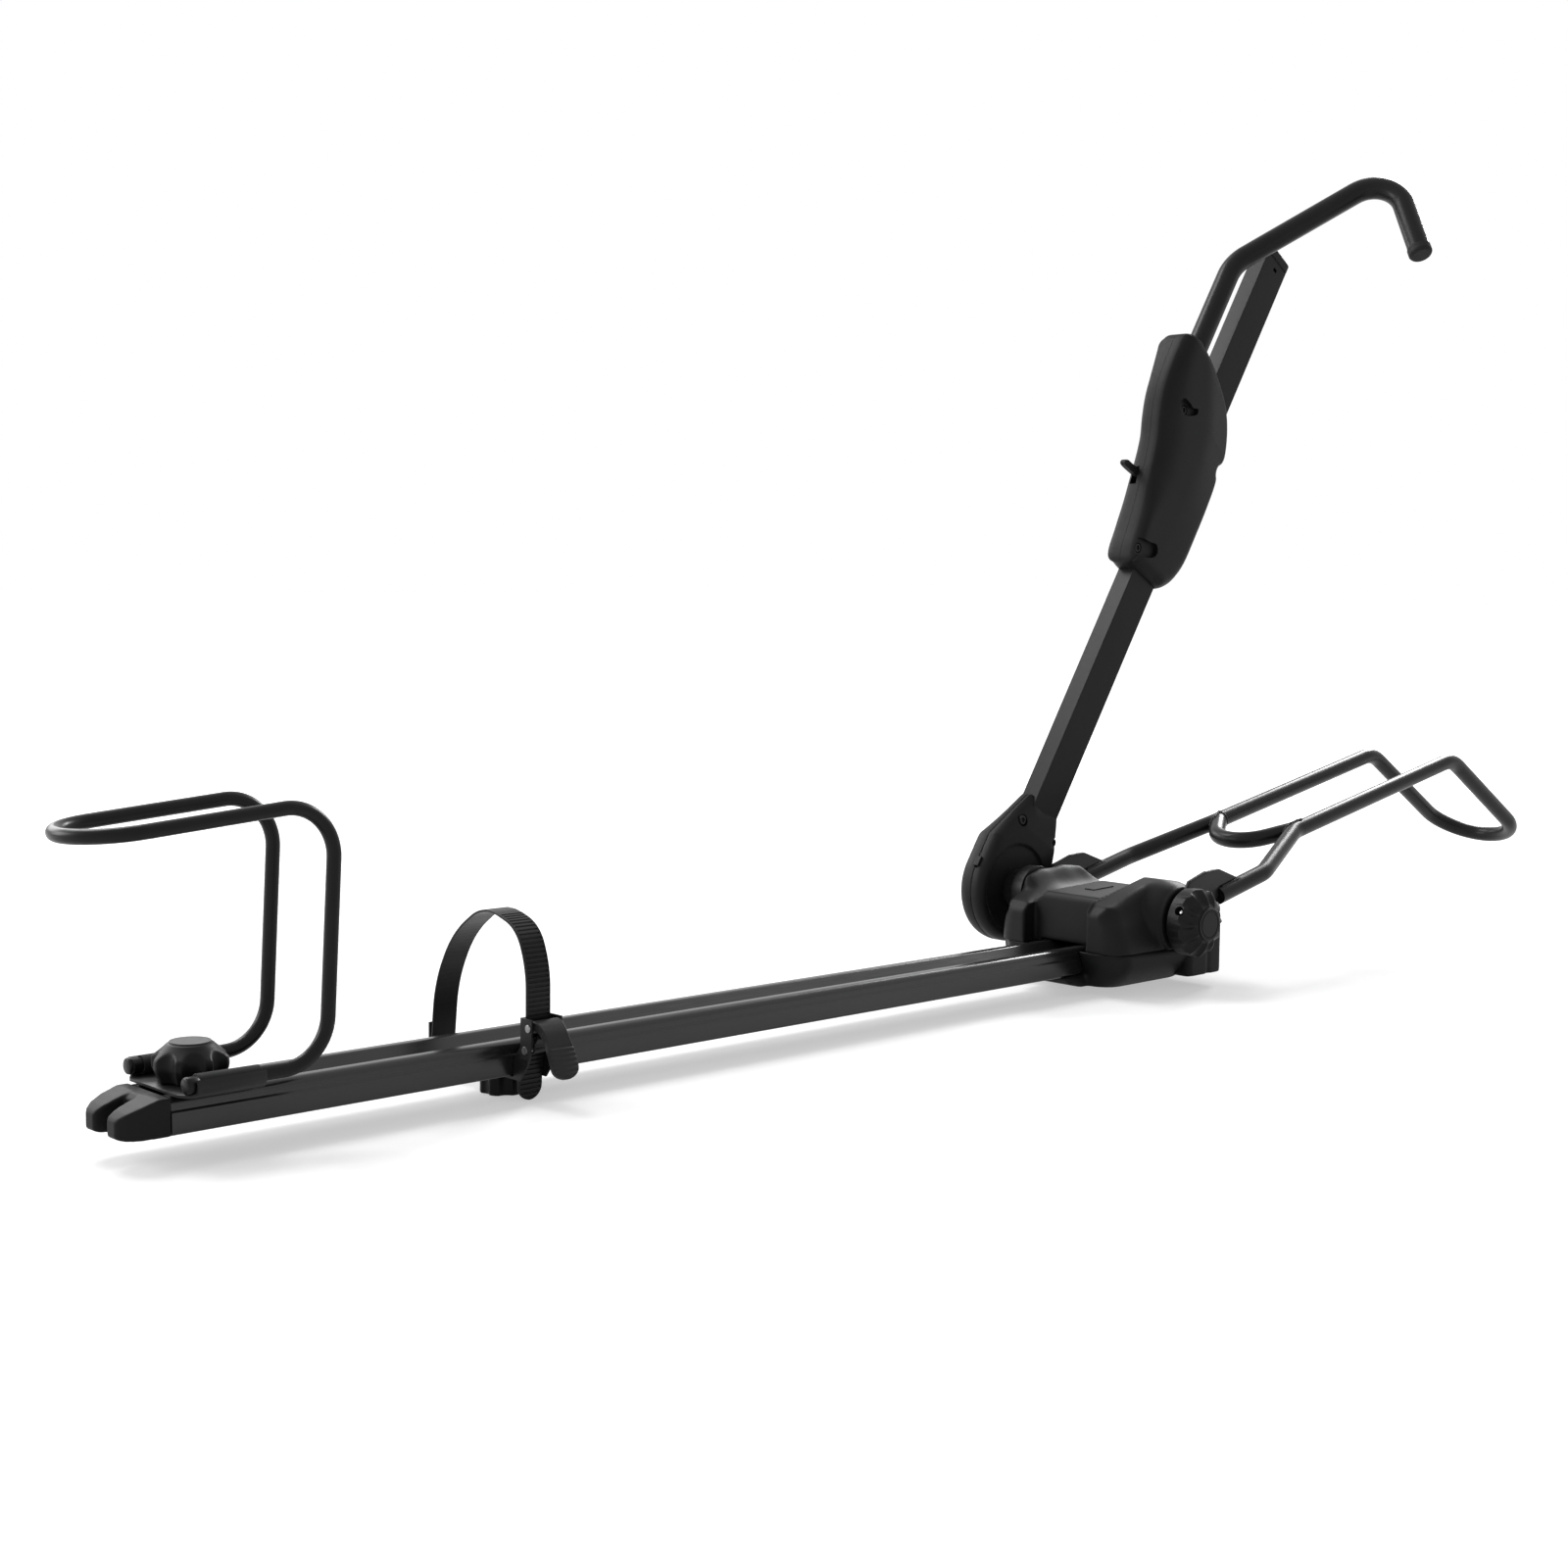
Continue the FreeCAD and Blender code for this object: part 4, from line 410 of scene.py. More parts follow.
# %% Soft steps, rules and relaxing
def smooth_step(value, low, high):
    """Nought up to low, one from high on, and a soft climb between."""
    share = min(max((value - low) / (high - low), 0.0), 1.0)
    return share * share * (3 - 2 * share)


def move_points(piece, rule):
    """Move every point by a rule that takes and gives millimetres."""
    for vertex in piece.data.vertices:
        vertex.co = Vector(rule(*(vertex.co / MM))) * MM


def relax(piece, rounds, weight=None):
    """Smooth a skin, more where weight(x, y, z) is near one, less where it is near nought."""
    smoothing = piece.modifiers.new("Relax", "SMOOTH")
    smoothing.factor = 0.5
    smoothing.iterations = rounds
    if weight:
        group = piece.vertex_groups.new(name="relax")
        for vertex in piece.data.vertices:
            group.add([vertex.index], weight(*(vertex.co / MM)), "REPLACE")
        smoothing.vertex_group = group.name
    settle(piece)
    piece.vertex_groups.clear()
    piece.data.shade_smooth()


print("a quarter of the way up, a soft step is at", round(smooth_step(0.25, 0, 1), 3))

# %% [markdown]
# Base cover
#
# The cover is one moulding with two humps: the near one holds the cradle's knob, the far one climbs to the
# hinge. Its CAD node has upright walls. Here the walls lean in towards the top, the humps drop towards the
# rail, and a ceiling keeps the saddle low where the flare of the next cell begins. The round barrel behind
# the knob must stay round, so the rule fades out there.

# %% Rule for the cover's walls
PIVOT_X, PIVOT_Z = 38.0, 60.5
BARREL_RADIUS = 33.0
SEAM_Z = 34.0
COVER_TOP_Z = 92
COVER_HALF = 74
WALL_LEAN = 17
NEAR_DROP, FAR_DROP = 4, 9
SADDLE_Y, SADDLE_Z = 30, 78
NECK_CLIMB, CLIMB_RUN = 21.5, 42


def lean_cover(x, y, z):
    """Lean the outer walls in towards the top, but leave the round barrel that carries the knob."""
    off_barrel = smooth_step(math.hypot(x - PIVOT_X, z - PIVOT_Z), BARREL_RADIUS + 0.5, BARREL_RADIUS + 10)
    lean = WALL_LEAN * smooth_step(z, SEAM_Z + 4, COVER_TOP_Z) * off_barrel
    shoulder = smooth_step(z, 55, 74) * (1 - smooth_step(x, -52, 5))
    if y > SADDLE_Y:
        ceiling = SADDLE_Z + NECK_CLIMB * min((y - SADDLE_Y) / CLIMB_RUN, 1) ** 1.3
        z = min(z, ceiling + 3 * smooth_step(x, -10, 30) * smooth_step(y, 45, 70))
    if y < -40:
        y += lean * smooth_step(-y, 40, COVER_HALF)
        z -= NEAR_DROP * shoulder
    elif y > 36:
        y -= 0.5 * lean * smooth_step(y, 40, COVER_HALF)
        z -= FAR_DROP * shoulder
    return x, y, z


print("the cover's outer wall leans in by", WALL_LEAN, "mm")

# %% [markdown]
# Flare to the hinge neck
#
# Between the saddle and the hinge the cover climbs in one soft sweep, which the CAD node only hints at. A
# loft through a few roof-shaped rows roughs it out. It may be coarse: it joins the cover before the skin is
# made, so the skin wraps both, and relaxing this part for longer turns the rows into one sweep.

# %% Flare and finished cover
# Each row of the flare is y, its top, and where it ends to the left and the right.
FLARE_ROWS = [(33, 77, -31, 60), (42, 79.5, -30, 58), (51, 84.5, -29, 55), (60, 91, -28, 50),
              (68, 96.5, -27, 45), (73.5, 99.5, -26, 42)]
FLARE_FOOT_Z = 50


def loft(name, rings):
    """A closed piece through rings of points that all have the same count."""
    count = len(rings[0])
    last = count * (len(rings) - 1)
    faces = [tuple(range(count)), tuple(range(last, last + count))]
    for here in range(0, last, count):
        there = here + count
        faces += [(here + k, here + (k + 1) % count, there + (k + 1) % count, there + k) for k in range(count)]
    return new_piece(name, [point for ring in rings for point in ring], faces)


def neck_flare_block():
    """A roof-shaped block that climbs from the saddle to the hinge neck."""
    return loft("fairing", [[(left, y, FLARE_FOOT_Z), (left, y, top - 5), (left + 5, y, top),
                             (right - 6, y, top + 1), (right, y, top - 6), (right, y, FLARE_FOOT_Z)]
                            for y, top, left, right in FLARE_ROWS])


cover = skin_of("base_cover", 1.2, [neck_flare_block()])
move_points(cover, lean_cover)
relax(cover, 14, lambda x, y, z: smooth_step(z, SEAM_Z + 0.5, SEAM_Z + 6))
relax(cover, 50, lambda x, y, z: smooth_step(z, SADDLE_Z - 8, SADDLE_Z) * smooth_step(y, 28, 36))
print("cover", len(cover.data.vertices), "points")

# %% [markdown]
# Lower shell
#
# Under the cover lies a tray that bellies out on both sides, like a bowl. A half sine over its height gives
# the belly: nothing at the foot, where it sits on the bar, and nothing at the seam, where it meets the
# cover. Its rear corners are drawn in, and it is relaxed less near the seam.

# %% Rule for the belly
BELLY = 8
CORNER_IN = (6, 5)


def belly(x, y, z):
    """Fill the lower shell's sides out into a bowl."""
    fill = 0
    if 1 < z < SEAM_Z:
        fill = BELLY * math.sin(math.pi * min(max((z - 1) / (SEAM_Z - 1), 0), 1)) ** 0.8
    if abs(y) > 40 and x < 74:
        y += math.copysign(fill * smooth_step(abs(y), 40, 56), y)
        corner = smooth_step(-x, 38, 55) * smooth_step(abs(y), 52, 77)
        x += CORNER_IN[0] * corner
        y -= math.copysign(CORNER_IN[1] * corner, y)
    return x, y, z


tray = skin_of("base_lower_shell", 1.4)
move_points(tray, belly)
relax(tray, 16, lambda x, y, z: 1 - 0.75 * smooth_step(z, SEAM_Z - 6, SEAM_Z - 0.5))
print("lower shell", len(tray.data.vertices), "points")

# %% [markdown]
# Hinge housing
#
# The mast's foot sits in a housing of two halves, round below and with straight shoulders above. Everything
# on the mast is easier to place on the mast's own axes, across it and along it from the hinge, so two
# small functions turn places from one set of axes to the other.

# %% The mast's own axes
TILT = math.radians(32.7)
HINGE = Vector((-2.4, 0, 76.6))
MAST_Y = 107.0


def across_along(x, z):
    """A point's place on the mast's own axes: across it and along it, from the hinge."""
    dx, dz = x - HINGE.x, z - HINGE.z
    return dx * math.cos(TILT) - dz * math.sin(TILT), dx * math.sin(TILT) + dz * math.cos(TILT)


def on_mast(across, y, along):
    """World place of a spot on the mast's own axes."""
    return (HINGE.x + across * math.cos(TILT) + along * math.sin(TILT), MAST_Y + y,
            HINGE.z - across * math.sin(TILT) + along * math.cos(TILT))


print("100 mm up the mast is at", [round(value, 1) for value in on_mast(0, 0, 100)])

# %% [markdown]
# Crowned halves
#
# The CAD halves have flat faces. A crown is a matter of distance to the outline: low at the edge, and full
# height once that distance is the crown's run. Each point's height above the seam is scaled by that, so
# the recess round the hinge keeps its place in the crowned face.

# %% Crown both halves
HOUSING_SEAM, HOUSING_NEAR = 106.0, 93.0
FAR_DEPTH = 18.0
HOUSING_ROUND, HOUSING_FRONT, HOUSING_TOP = 54, 50, 96
CROWN_RUN, REAR_CROWN_RUN = 7, 17
RIM_HEIGHT, FLAT_HEIGHT = 5, 3


def housing_edge(across, along):
    """Rough distance in from the housing's outline: the round end below, the shoulders above."""
    round_end = HOUSING_ROUND - math.hypot(across, along)
    if along < 0:
        return round_end
    rear = across + HOUSING_ROUND - max(along - 33, 0) * 0.49
    front = HOUSING_FRONT - across - max(along - 20, 0) * 0.36
    return max(min(rear, front, HOUSING_TOP - along), round_end if along < 40 else -99)


def crown_housing(side):
    """The rule for one half, on the near side (-1) or the far side (1) of the seam."""
    depth = HOUSING_SEAM - HOUSING_NEAR if side < 0 else FAR_DEPTH

    def rule(x, y, z):
        across, along = across_along(x, z)
        reach = (y - HOUSING_SEAM) * side
        if reach < FLAT_HEIGHT:
            return x, y, z
        run = CROWN_RUN + REAR_CROWN_RUN * smooth_step(along, 25, 75) * smooth_step(-across, -25, 5)
        rise = min(max(housing_edge(across, along) / run, 0.0), 1.0)
        height = depth - (depth - RIM_HEIGHT) * (1 - math.sqrt(1 - (1 - rise) ** 2))
        if side < 0:
            height -= 0.11 * max(along - 58, 0)
        crowned = min(height / depth, 1.0) * depth
        scaled = (reach - FLAT_HEIGHT) * (crowned - FLAT_HEIGHT) / (depth - FLAT_HEIGHT)
        return x, HOUSING_SEAM + side * (FLAT_HEIGHT + scaled), z
    return rule


near_half = skin_of("hinge_housing_near", 1.0)
move_points(near_half, crown_housing(-1))
relax(near_half, 10, lambda x, y, z: smooth_step(HOUSING_SEAM - y, 0.3, 3))
far_half = skin_of("hinge_housing_far", 1.3)
move_points(far_half, crown_housing(1))
relax(far_half, 10, lambda x, y, z: smooth_step(y - HOUSING_SEAM, 0.3, 3))
print("housing", len(near_half.data.vertices) + len(far_half.data.vertices), "points")

# %% [markdown]
# Hinge neck
#
# A steel neck carries the hinge's axle. It is a turned piece, so it is made as on a lathe: a profile of
# radii and places along the axis, carried round in steps. It has to slip past the cradle's plate at every
# angle, which is why it stays slim up to where it meets the housing.

# %% Lathe, and the neck
def lathe(name, profile, centre, axis, slot, body, replaced=(), steps=72):
    """A round piece: profile is (radius, distance along the axis) pairs, closed from end to end."""
    axis = Vector(axis).normalized()
    side = axis.orthogonal().normalized()
    other = axis.cross(side)
    points, faces = [], []
    count = len(profile)
    for k in range(steps):
        angle = 2 * math.pi * k / steps
        spoke = side * math.cos(angle) + other * math.sin(angle)
        points += [Vector(centre) + axis * along + spoke * radius for radius, along in profile]
        here, there = k * count, (k + 1) % steps * count
        faces += [(here + j, here + (j + 1) % count, there + (j + 1) % count, there + j) for j in range(count)]
    piece = new_piece(name, points, faces, merge=0.01)
    paint(piece, slot)
    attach(piece, body)
    if replaced:
        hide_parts(*replaced)
    piece.data.shade_smooth()
    return piece


NECK_FLARE = [(10.1, 62), (10.1, 94.6), (19, 94.6), (19, 88), (18.9, 81), (21.5, 80.6), (23.6, 79.8),
              (24.6, 78), (25, 66), (19, 66), (19, 62)]
neck = lathe("neck_flare", NECK_FLARE, (HINGE.x, 0, HINGE.z), (0, 1, 0), "black_steel", "base",
             replaced=["hinge_neck"])
soften(neck, 0.4)
print("neck", len(neck.data.vertices), "points")

# %% [markdown]
# Slider outline
#
# The slider is two moulded shells that ride on the mast. Its outline has no straight run, so it is a
# smooth closed curve through a few chosen corners. Three parts of it, the rear, the top and the front, are
# kept as lines of their own, because the shell is crowned differently from each.

# %% Curve through corners
SLIDER_LOW, SLIDER_DEPTH = 363.0, 22.0
CURVE_STEPS = 8
REAR_EDGE = [(-29, 5), (-35.5, 8), (-40.5, 20), (-43.7, 42), (-48.6, 69), (-54, 92), (-60, 118), (-67, 140),
             (-76, 158), (-84, 178), (-88.5, 197), (-90.8, 217), (-91.6, 237), (-91, 251)]
TOP_EDGE = [(-91, 251), (-86, 257.5), (-76, 261), (-62, 263)]
FRONT_EDGE = [(-62, 263), (-47, 260), (-30, 254.5), (-14, 248), (3, 240), (18, 229.5), (29, 217), (38, 202),
              (43, 188), (42.5, 179), (38.5, 172), (38.5, 165), (44, 156), (46, 128), (46.5, 86), (46, 52),
              (41.5, 32), (34, 17), (22, 6.5), (6, 5), (-15, 4)]


def closed_curve(corners, steps):
    """A smooth closed curve through corners, with that many points from one corner to the next."""
    count = len(corners)
    drawn = []
    for k in range(count):
        before, here, after, beyond = (Vector(corners[(k + n) % count]) for n in (-1, 0, 1, 2))
        for m in range(steps):
            t = m / steps
            bend = 2 * before - 5 * here + 4 * after - beyond
            twist = 3 * here - before - 3 * after + beyond
            drawn.append(0.5 * (2 * here + (after - before) * t + bend * t ** 2 + twist * t ** 3))
    return drawn


def flat_pairs(spots):
    return [(spot.x, spot.y) for spot in spots]


SLIDER_OUTLINE = closed_curve(REAR_EDGE + TOP_EDGE[1:] + FRONT_EDGE[1:], CURVE_STEPS)
TOP_START = CURVE_STEPS * (len(REAR_EDGE) - 1)
FRONT_START = CURVE_STEPS * (len(REAR_EDGE) + len(TOP_EDGE) - 2)
REAR_LINE = flat_pairs(SLIDER_OUTLINE[:TOP_START + 1])
TOP_LINE = flat_pairs(SLIDER_OUTLINE[TOP_START:FRONT_START + 1])
FRONT_LINE = flat_pairs(SLIDER_OUTLINE[FRONT_START:] + SLIDER_OUTLINE[:1])
print("slider outline", len(SLIDER_OUTLINE), "points")

# %% [markdown]
# Slider surface
#
# Seen from the side, the slider's face is a long leaf between soft flanks. Each edge gives a height of its
# own: a rounded climb from the rear, the top and the front, and a flank that falls away in front of a ridge.
# The surface is the least of them, taken softly, so that the creases between them are rounded. A voxel skin
# leaves ragged edges, and a formula has none.

# %% Height of the shell
# Rear climb: height along the shell and the climb's run, for the near side (-1) and the far side (1).
REAR_RUNS = {-1: [(0, 10), (57, 12), (82, 24), (108, 38), (153, 44), (178, 42), (203, 34), (231, 26),
                  (260, 20)],
             1: [(0, 8), (54, 10), (83, 14), (116, 18), (142, 24), (200, 26), (223, 15), (243, 6), (262, 5)]}
# Ridge between the leaf and the front flank: height along the shell and place across it.
RIDGE = [(0, 2), (120, 0), (153, -4), (188, -11), (214, -26), (236, -40), (249, -53), (265, -62)]
CREASE_ROUND = 0.7
# Each climb's run in from the edge and its height at the edge.
BRINK, TOP_CLIMB, FRONT_CLIMB = (4, 5), (13, 9), (17, 4)
REAR_RIM = 8
FLANK_SLOPE, UPPER_SLOPE = 0.05, 0.12


def distance_to(line, across, up):
    """Distance from a point to a line of corners."""
    best = math.inf
    for (x0, z0), (x1, z1) in zip(line, line[1:]):
        dx, dz = x1 - x0, z1 - z0
        share = min(max(((across - x0) * dx + (up - z0) * dz) / (dx * dx + dz * dz), 0), 1)
        best = min(best, math.hypot(across - x0 - share * dx, up - z0 - share * dz))
    return best


def bulge(distance, run, low, high):
    """Height of a rounded edge: low at the edge, high from run onwards."""
    rise = min(max(distance / run, 0.0), 1.0)
    return low + (high - low) * math.sqrt(1 - (1 - rise) ** 2)


def softly_least(values, blend):
    """The least of some heights, with the creases between them rounded."""
    return -blend * math.log(sum(math.exp(-value / blend) for value in values))


def read_off(table, at):
    """A value between the rows of a table."""
    for (a, value_a), (b, value_b) in zip(table, table[1:]):
        if at <= b:
            return value_a + (value_b - value_a) * max(at - a, 0) / (b - a)
    return table[-1][1]


def slider_surface(across, up, side):
    """Height of a shell's outside above the seam."""
    from_rear = distance_to(REAR_LINE, across, up)
    rear = bulge(from_rear, read_off(REAR_RUNS[side], up), REAR_RIM, SLIDER_DEPTH)
    brink = bulge(from_rear, *BRINK, SLIDER_DEPTH + 1)
    top = bulge(distance_to(TOP_LINE, across, up), *TOP_CLIMB, SLIDER_DEPTH)
    front = bulge(distance_to(FRONT_LINE, across, up), *FRONT_CLIMB, SLIDER_DEPTH)
    slope = FLANK_SLOPE + UPPER_SLOPE * smooth_step(up, 60, 190)
    flank = SLIDER_DEPTH - slope * max(across - read_off(RIDGE, up), 0)
    return softly_least((rear, brink, top, front, flank), CREASE_ROUND)


print("the near shell is", round(slider_surface(0, 100, -1), 1), "mm deep over the mast")

# %% [markdown]
# Slider shells
#
# Rings of points run from the outline in to a spine, close together near the edge, where the surface turns
# fastest. Every ring has as many points as the outline, so the edge is as smooth as the curve. A fan of
# triangles to one middle point would be shorter to write, but it pinches where the outline is long.

# %% Rings from the outline to the spine
RING_PLACES = (0, 0.006, 0.015, 0.03, 0.05, 0.075, 0.105, 0.14, 0.18, 0.23, 0.29, 0.36, 0.44, 0.53, 0.63, 0.75,
               0.88, 1)
SPINE = [(0, 34), (3, 60), (-2, 100), (-9, 128), (-21, 178), (-31, 210), (-46, 234)]
SEAM_GAP = 0.15
EDGE_HEIGHT = 4.0


def spine_spot(up):
    """The spot on the shell's spine at that height, or the spine's nearer end."""
    up = min(max(up, SPINE[0][1]), SPINE[-1][1])
    for (a0, u0), (a1, u1) in zip(SPINE, SPINE[1:]):
        if up <= u1:
            return a0 + (a1 - a0) * (up - u0) / (u1 - u0), up
    return SPINE[-1]


def slider_block(side, word):
    """A solid half of the slider, on the near side (-1) or the far side (1) of its seam."""
    count = len(SLIDER_OUTLINE)
    points = [on_mast(spot.x, SEAM_GAP * side, SLIDER_LOW + spot.y) for spot in SLIDER_OUTLINE]
    for place in RING_PLACES:
        for spot in SLIDER_OUTLINE:
            across, up = spine_spot(spot.y)
            across, up = spot.x + (across - spot.x) * place, spot.y + (up - spot.y) * place
            height = max(slider_surface(across, up, side), EDGE_HEIGHT)
            points.append(on_mast(across, height * side, SLIDER_LOW + up))
    faces = [tuple(range(count))]
    for r in range(len(RING_PLACES)):
        here, there = r * count, (r + 1) * count
        faces += [(here + k, here + (k + 1) % count, there + (k + 1) % count, there + k) for k in range(count)]
    return new_piece(f"slider_{word}", points, faces)


print("each shell has", len(RING_PLACES), "rings")

# %% [markdown]
# Ways and pockets
#
# Both shells are cut out for the mast and its guides, or they would run through each other. The near shell
# also gets two soft-edged pockets with a screw hole in each, and the far one a slot for the release tab. The
# cutters are outlines on the mast's axes, run through the thickness that they have to cut.

# %% Cut shells
# Ways through the shell: across from and to, along from and to above its foot, and half their thickness.
SLIDER_WAYS = {"mast_way": (-20.4, 20.4, -5, 277, 10.5), "inside": (-34, 32, 17, 150, 13),
               "guide_way": (-24.2, 24.2, 14, 203, 14.2)}
LEVER_WAY = (-96, -30, 89, 108)
LEVER_NEAR, LEVER_FAR = 4.7, 13.3
SLIDER_SCREWS = ((-51, 183.5), (-33.5, 21.5))
POCKETS = [[(-63, 190), (-63, 178), (-52, 176.5), (-45, 180), (-35, 189), (-37, 195), (-44, 191), (-52, 192)],
           [(-44, 28), (-43, 14), (-33, 13), (-22, 17), (-11, 24), (-8, 32), (-14, 38), (-26, 34)]]
POCKET_FLOOR, SCREW_FLOOR = -16.2, -12.8
SCREW_WAY_RADIUS = 5.4
BEYOND_SHELL = -30


def mast_prism(name, outline, y0, y1):
    """An outline on the mast's axes, run from y0 to y1 off the mast's middle."""
    count = len(outline)
    points = [on_mast(across, y, along) for y in (y0, y1) for across, along in outline]
    faces = [tuple(range(count)), tuple(range(count, 2 * count))]
    faces += [(k, (k + 1) % count, count + (k + 1) % count, count + k) for k in range(count)]
    return new_piece(name, points, faces)


def circle(across, along, radius, steps=40):
    turns = [2 * math.pi * k / steps for k in range(steps)]
    return [(across + radius * math.cos(turn), along + radius * math.sin(turn)) for turn in turns]


def slider_way(name, box, y0, y1):
    """A straight way through the slider, with its box above the slider's foot."""
    across0, across1, up0, up1 = box
    low, high = SLIDER_LOW + up0, SLIDER_LOW + up1
    return mast_prism(name, [(across0, low), (across1, low), (across1, high), (across0, high)], y0, y1)


def slider_shell(side, word):
    shell = slider_block(side, word)
    cutters = [slider_way(name, box, -half, half) for name, (*box, half) in SLIDER_WAYS.items()]
    if side > 0:
        cutters.append(slider_way("lever_way", LEVER_WAY, LEVER_NEAR, LEVER_FAR))
    else:
        for k, pocket in enumerate(POCKETS):
            rounded = [(corner.x, SLIDER_LOW + corner.y) for corner in closed_curve(pocket, 6)]
            cutters.append(mast_prism(f"pocket_{k}", rounded, BEYOND_SHELL, POCKET_FLOOR))
        for across, up in SLIDER_SCREWS:
            hole = circle(across, SLIDER_LOW + up, SCREW_WAY_RADIUS)
            cutters.append(mast_prism("screw_way", hole, BEYOND_SHELL, SCREW_FLOOR))
    carve(shell, cutters)
    stand_for(shell, f"slider_shell_{word}")
    keep_sharp(shell, 48)
    print(shell.name, len(shell.data.vertices), "points")


slider_shell(-1, "near")
slider_shell(1, "far")

# %% [markdown]
# Release tab
#
# At the slider's rear a small hooked tab frees it from the mast. It is a flat moulding, so the quickest way
# is an outline run through its thickness, with a bevel for its edges. The bevel is settled at once,
# because the tab has to be a finished mesh before it stands for its node.

# %% Hooked tab
LEVER_TAB = [(-30, 103), (-33, 111.5), (-40, 112), (-52, 107.5), (-66, 104.5), (-75.5, 103.4), (-79.5, 100.5),
             (-78.5, 96.8), (-72, 96.2), (-60, 97.5), (-48, 99), (-38, 100.5)]
TAB_NEAR, TAB_FAR = 5.2, 12.8
tab_outline = [(spot.x, SLIDER_LOW + spot.y) for spot in closed_curve(LEVER_TAB, 5)]
tab = mast_prism("release_tab", tab_outline, TAB_NEAR, TAB_FAR)
soften(tab, 1.4, 4, 40)
settle(tab)
stand_for(tab, "release_lever", "black_moulding")
print("release tab", len(tab.data.vertices), "points")

# %% [markdown]
# Screws
#
# The visible screws are black, with a hexagon socket. A Boolean could cut the socket, but the same shape
# comes straight from rings of points whose inner edge follows the hexagon: its distance from the axis is
# the flats' half width over the cosine of the angle to the nearest flat.

# %% Socket screws
SCREW_STEPS = 72
SCREW_RADIUS, HEAD_LENGTH, HEX_FLATS = 4.5, 3.0, 5.0
TOWARDS_NEAR = Vector((0, -1, 0))


def socket_screw(name, place):
    """A round head with a hexagon socket, whose foot is at place and which faces the near side."""
    side = TOWARDS_NEAR.orthogonal().normalized()
    other = TOWARDS_NEAR.cross(side)
    points, faces = [], []
    for k in range(SCREW_STEPS):
        angle = 2 * math.pi * k / SCREW_STEPS
        spoke = side * math.cos(angle) + other * math.sin(angle)
        socket = HEX_FLATS / 2 / math.cos((angle % (math.pi / 3)) - math.pi / 6)
        profile = [(0, 0), (SCREW_RADIUS, 0), (SCREW_RADIUS, HEAD_LENGTH - 0.5),
                   (SCREW_RADIUS - 0.5, HEAD_LENGTH), (socket + 0.35, HEAD_LENGTH),
                   (socket, HEAD_LENGTH - 0.35), (socket, HEAD_LENGTH - 2.1), (0, HEAD_LENGTH - 2.4)]
        points += [Vector(place) + spoke * reach + TOWARDS_NEAR * up for reach, up in profile]
        here, there = 8 * k, 8 * ((k + 1) % SCREW_STEPS)
        faces += [(here + j, here + j + 1, there + j + 1, there + j) for j in range(7)]
    return new_piece(name, points, faces)


def black_screws(node_name, places):
    """All heads of one node as a single piece."""
    heads = [socket_screw(f"head_{k}", place) for k, place in enumerate(places)]
    pair = heads[0]
    unite(pair, heads[1:])
    pair.name = node_name + "_black"
    stand_for(pair, node_name, "black_steel")
    soften(pair, 0.2)


head_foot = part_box("slider_screws")[0][1] / MM + HEAD_LENGTH - MAST_Y
black_screws("slider_screws", [on_mast(across, head_foot, SLIDER_LOW + up) for across, up in SLIDER_SCREWS])
print("slider screws stand", round(-head_foot, 1), "mm off the mast's middle")

# %% [markdown]
# Housing screws
#
# Two screws hold the halves of the hinge housing together. Their heads lie in round pockets, and a pocket
# looks darker than its surroundings, which makes a small screw easy to see. The pockets are cut after
# the housing was relaxed, so that their edges stay crisp.

# %% Pockets and heads
# Each row is a screw's place across and along, its pocket's radius and where the pocket's floor lies.
HOUSING_SCREWS = ((-28.5, 62, 6.6, -10.0), (27, 66, 5.0, -9.2))
HEAD_SUNK = 0.3
carve(near_half, [mast_prism("screw_pocket", circle(across, along, radius), -20, floor_y)
                  for across, along, radius, floor_y in HOUSING_SCREWS])
black_screws("housing_screws", [on_mast(across, floor_y + HEAD_SUNK, along)
                                for across, along, radius, floor_y in HOUSING_SCREWS])
keep_sharp(near_half, 50)
print(len(HOUSING_SCREWS), "housing screws")

# %% [markdown]
# Swept pieces
#
# A tube, a strap or a bent plate is one small section carried along a path. Blender's curves can do that
# with one fixed section. Here the section may change on the way, which makes ribs, pads and weld beads from
# the same tool. Corners are rounded to true arcs first, since real tube is bent round a former, and the
# path is then cut into even steps.

# %% Paths with round bends
def soft_path(corners, bends, steps=10):
    """A path with every inner corner rounded to its bend radius."""
    corners = [Vector(corner) for corner in corners]
    path = [corners[0]]
    for before, here, after, bend in zip(corners, corners[1:], corners[2:], bends):
        back, ahead = (before - here).normalized(), (after - here).normalized()
        half = back.angle(ahead) / 2
        centre = here + (back + ahead).normalized() * bend / math.sin(half)
        start = here + back * bend / math.tan(half) - centre
        end = here + ahead * bend / math.tan(half) - centre
        outwards, sideways = start.lerp(end, 0.5).normalized(), (end - start).normalized()
        for k in range(steps + 1):
            tilt = (2 * k / steps - 1) * (math.pi / 2 - half)
            path.append(centre + (outwards * math.cos(tilt) + sideways * math.sin(tilt)) * bend)
    path.append(corners[-1])
    return path


def rounded_bends(corners):
    """The largest bends that a path's straight runs leave room for."""
    bends = []
    for before, here, after in zip(corners, corners[1:], corners[2:]):
        back, ahead = Vector(before) - Vector(here), Vector(after) - Vector(here)
        bends.append(0.45 * min(back.length, ahead.length) * math.tan(back.angle(ahead) / 2))
    return bends


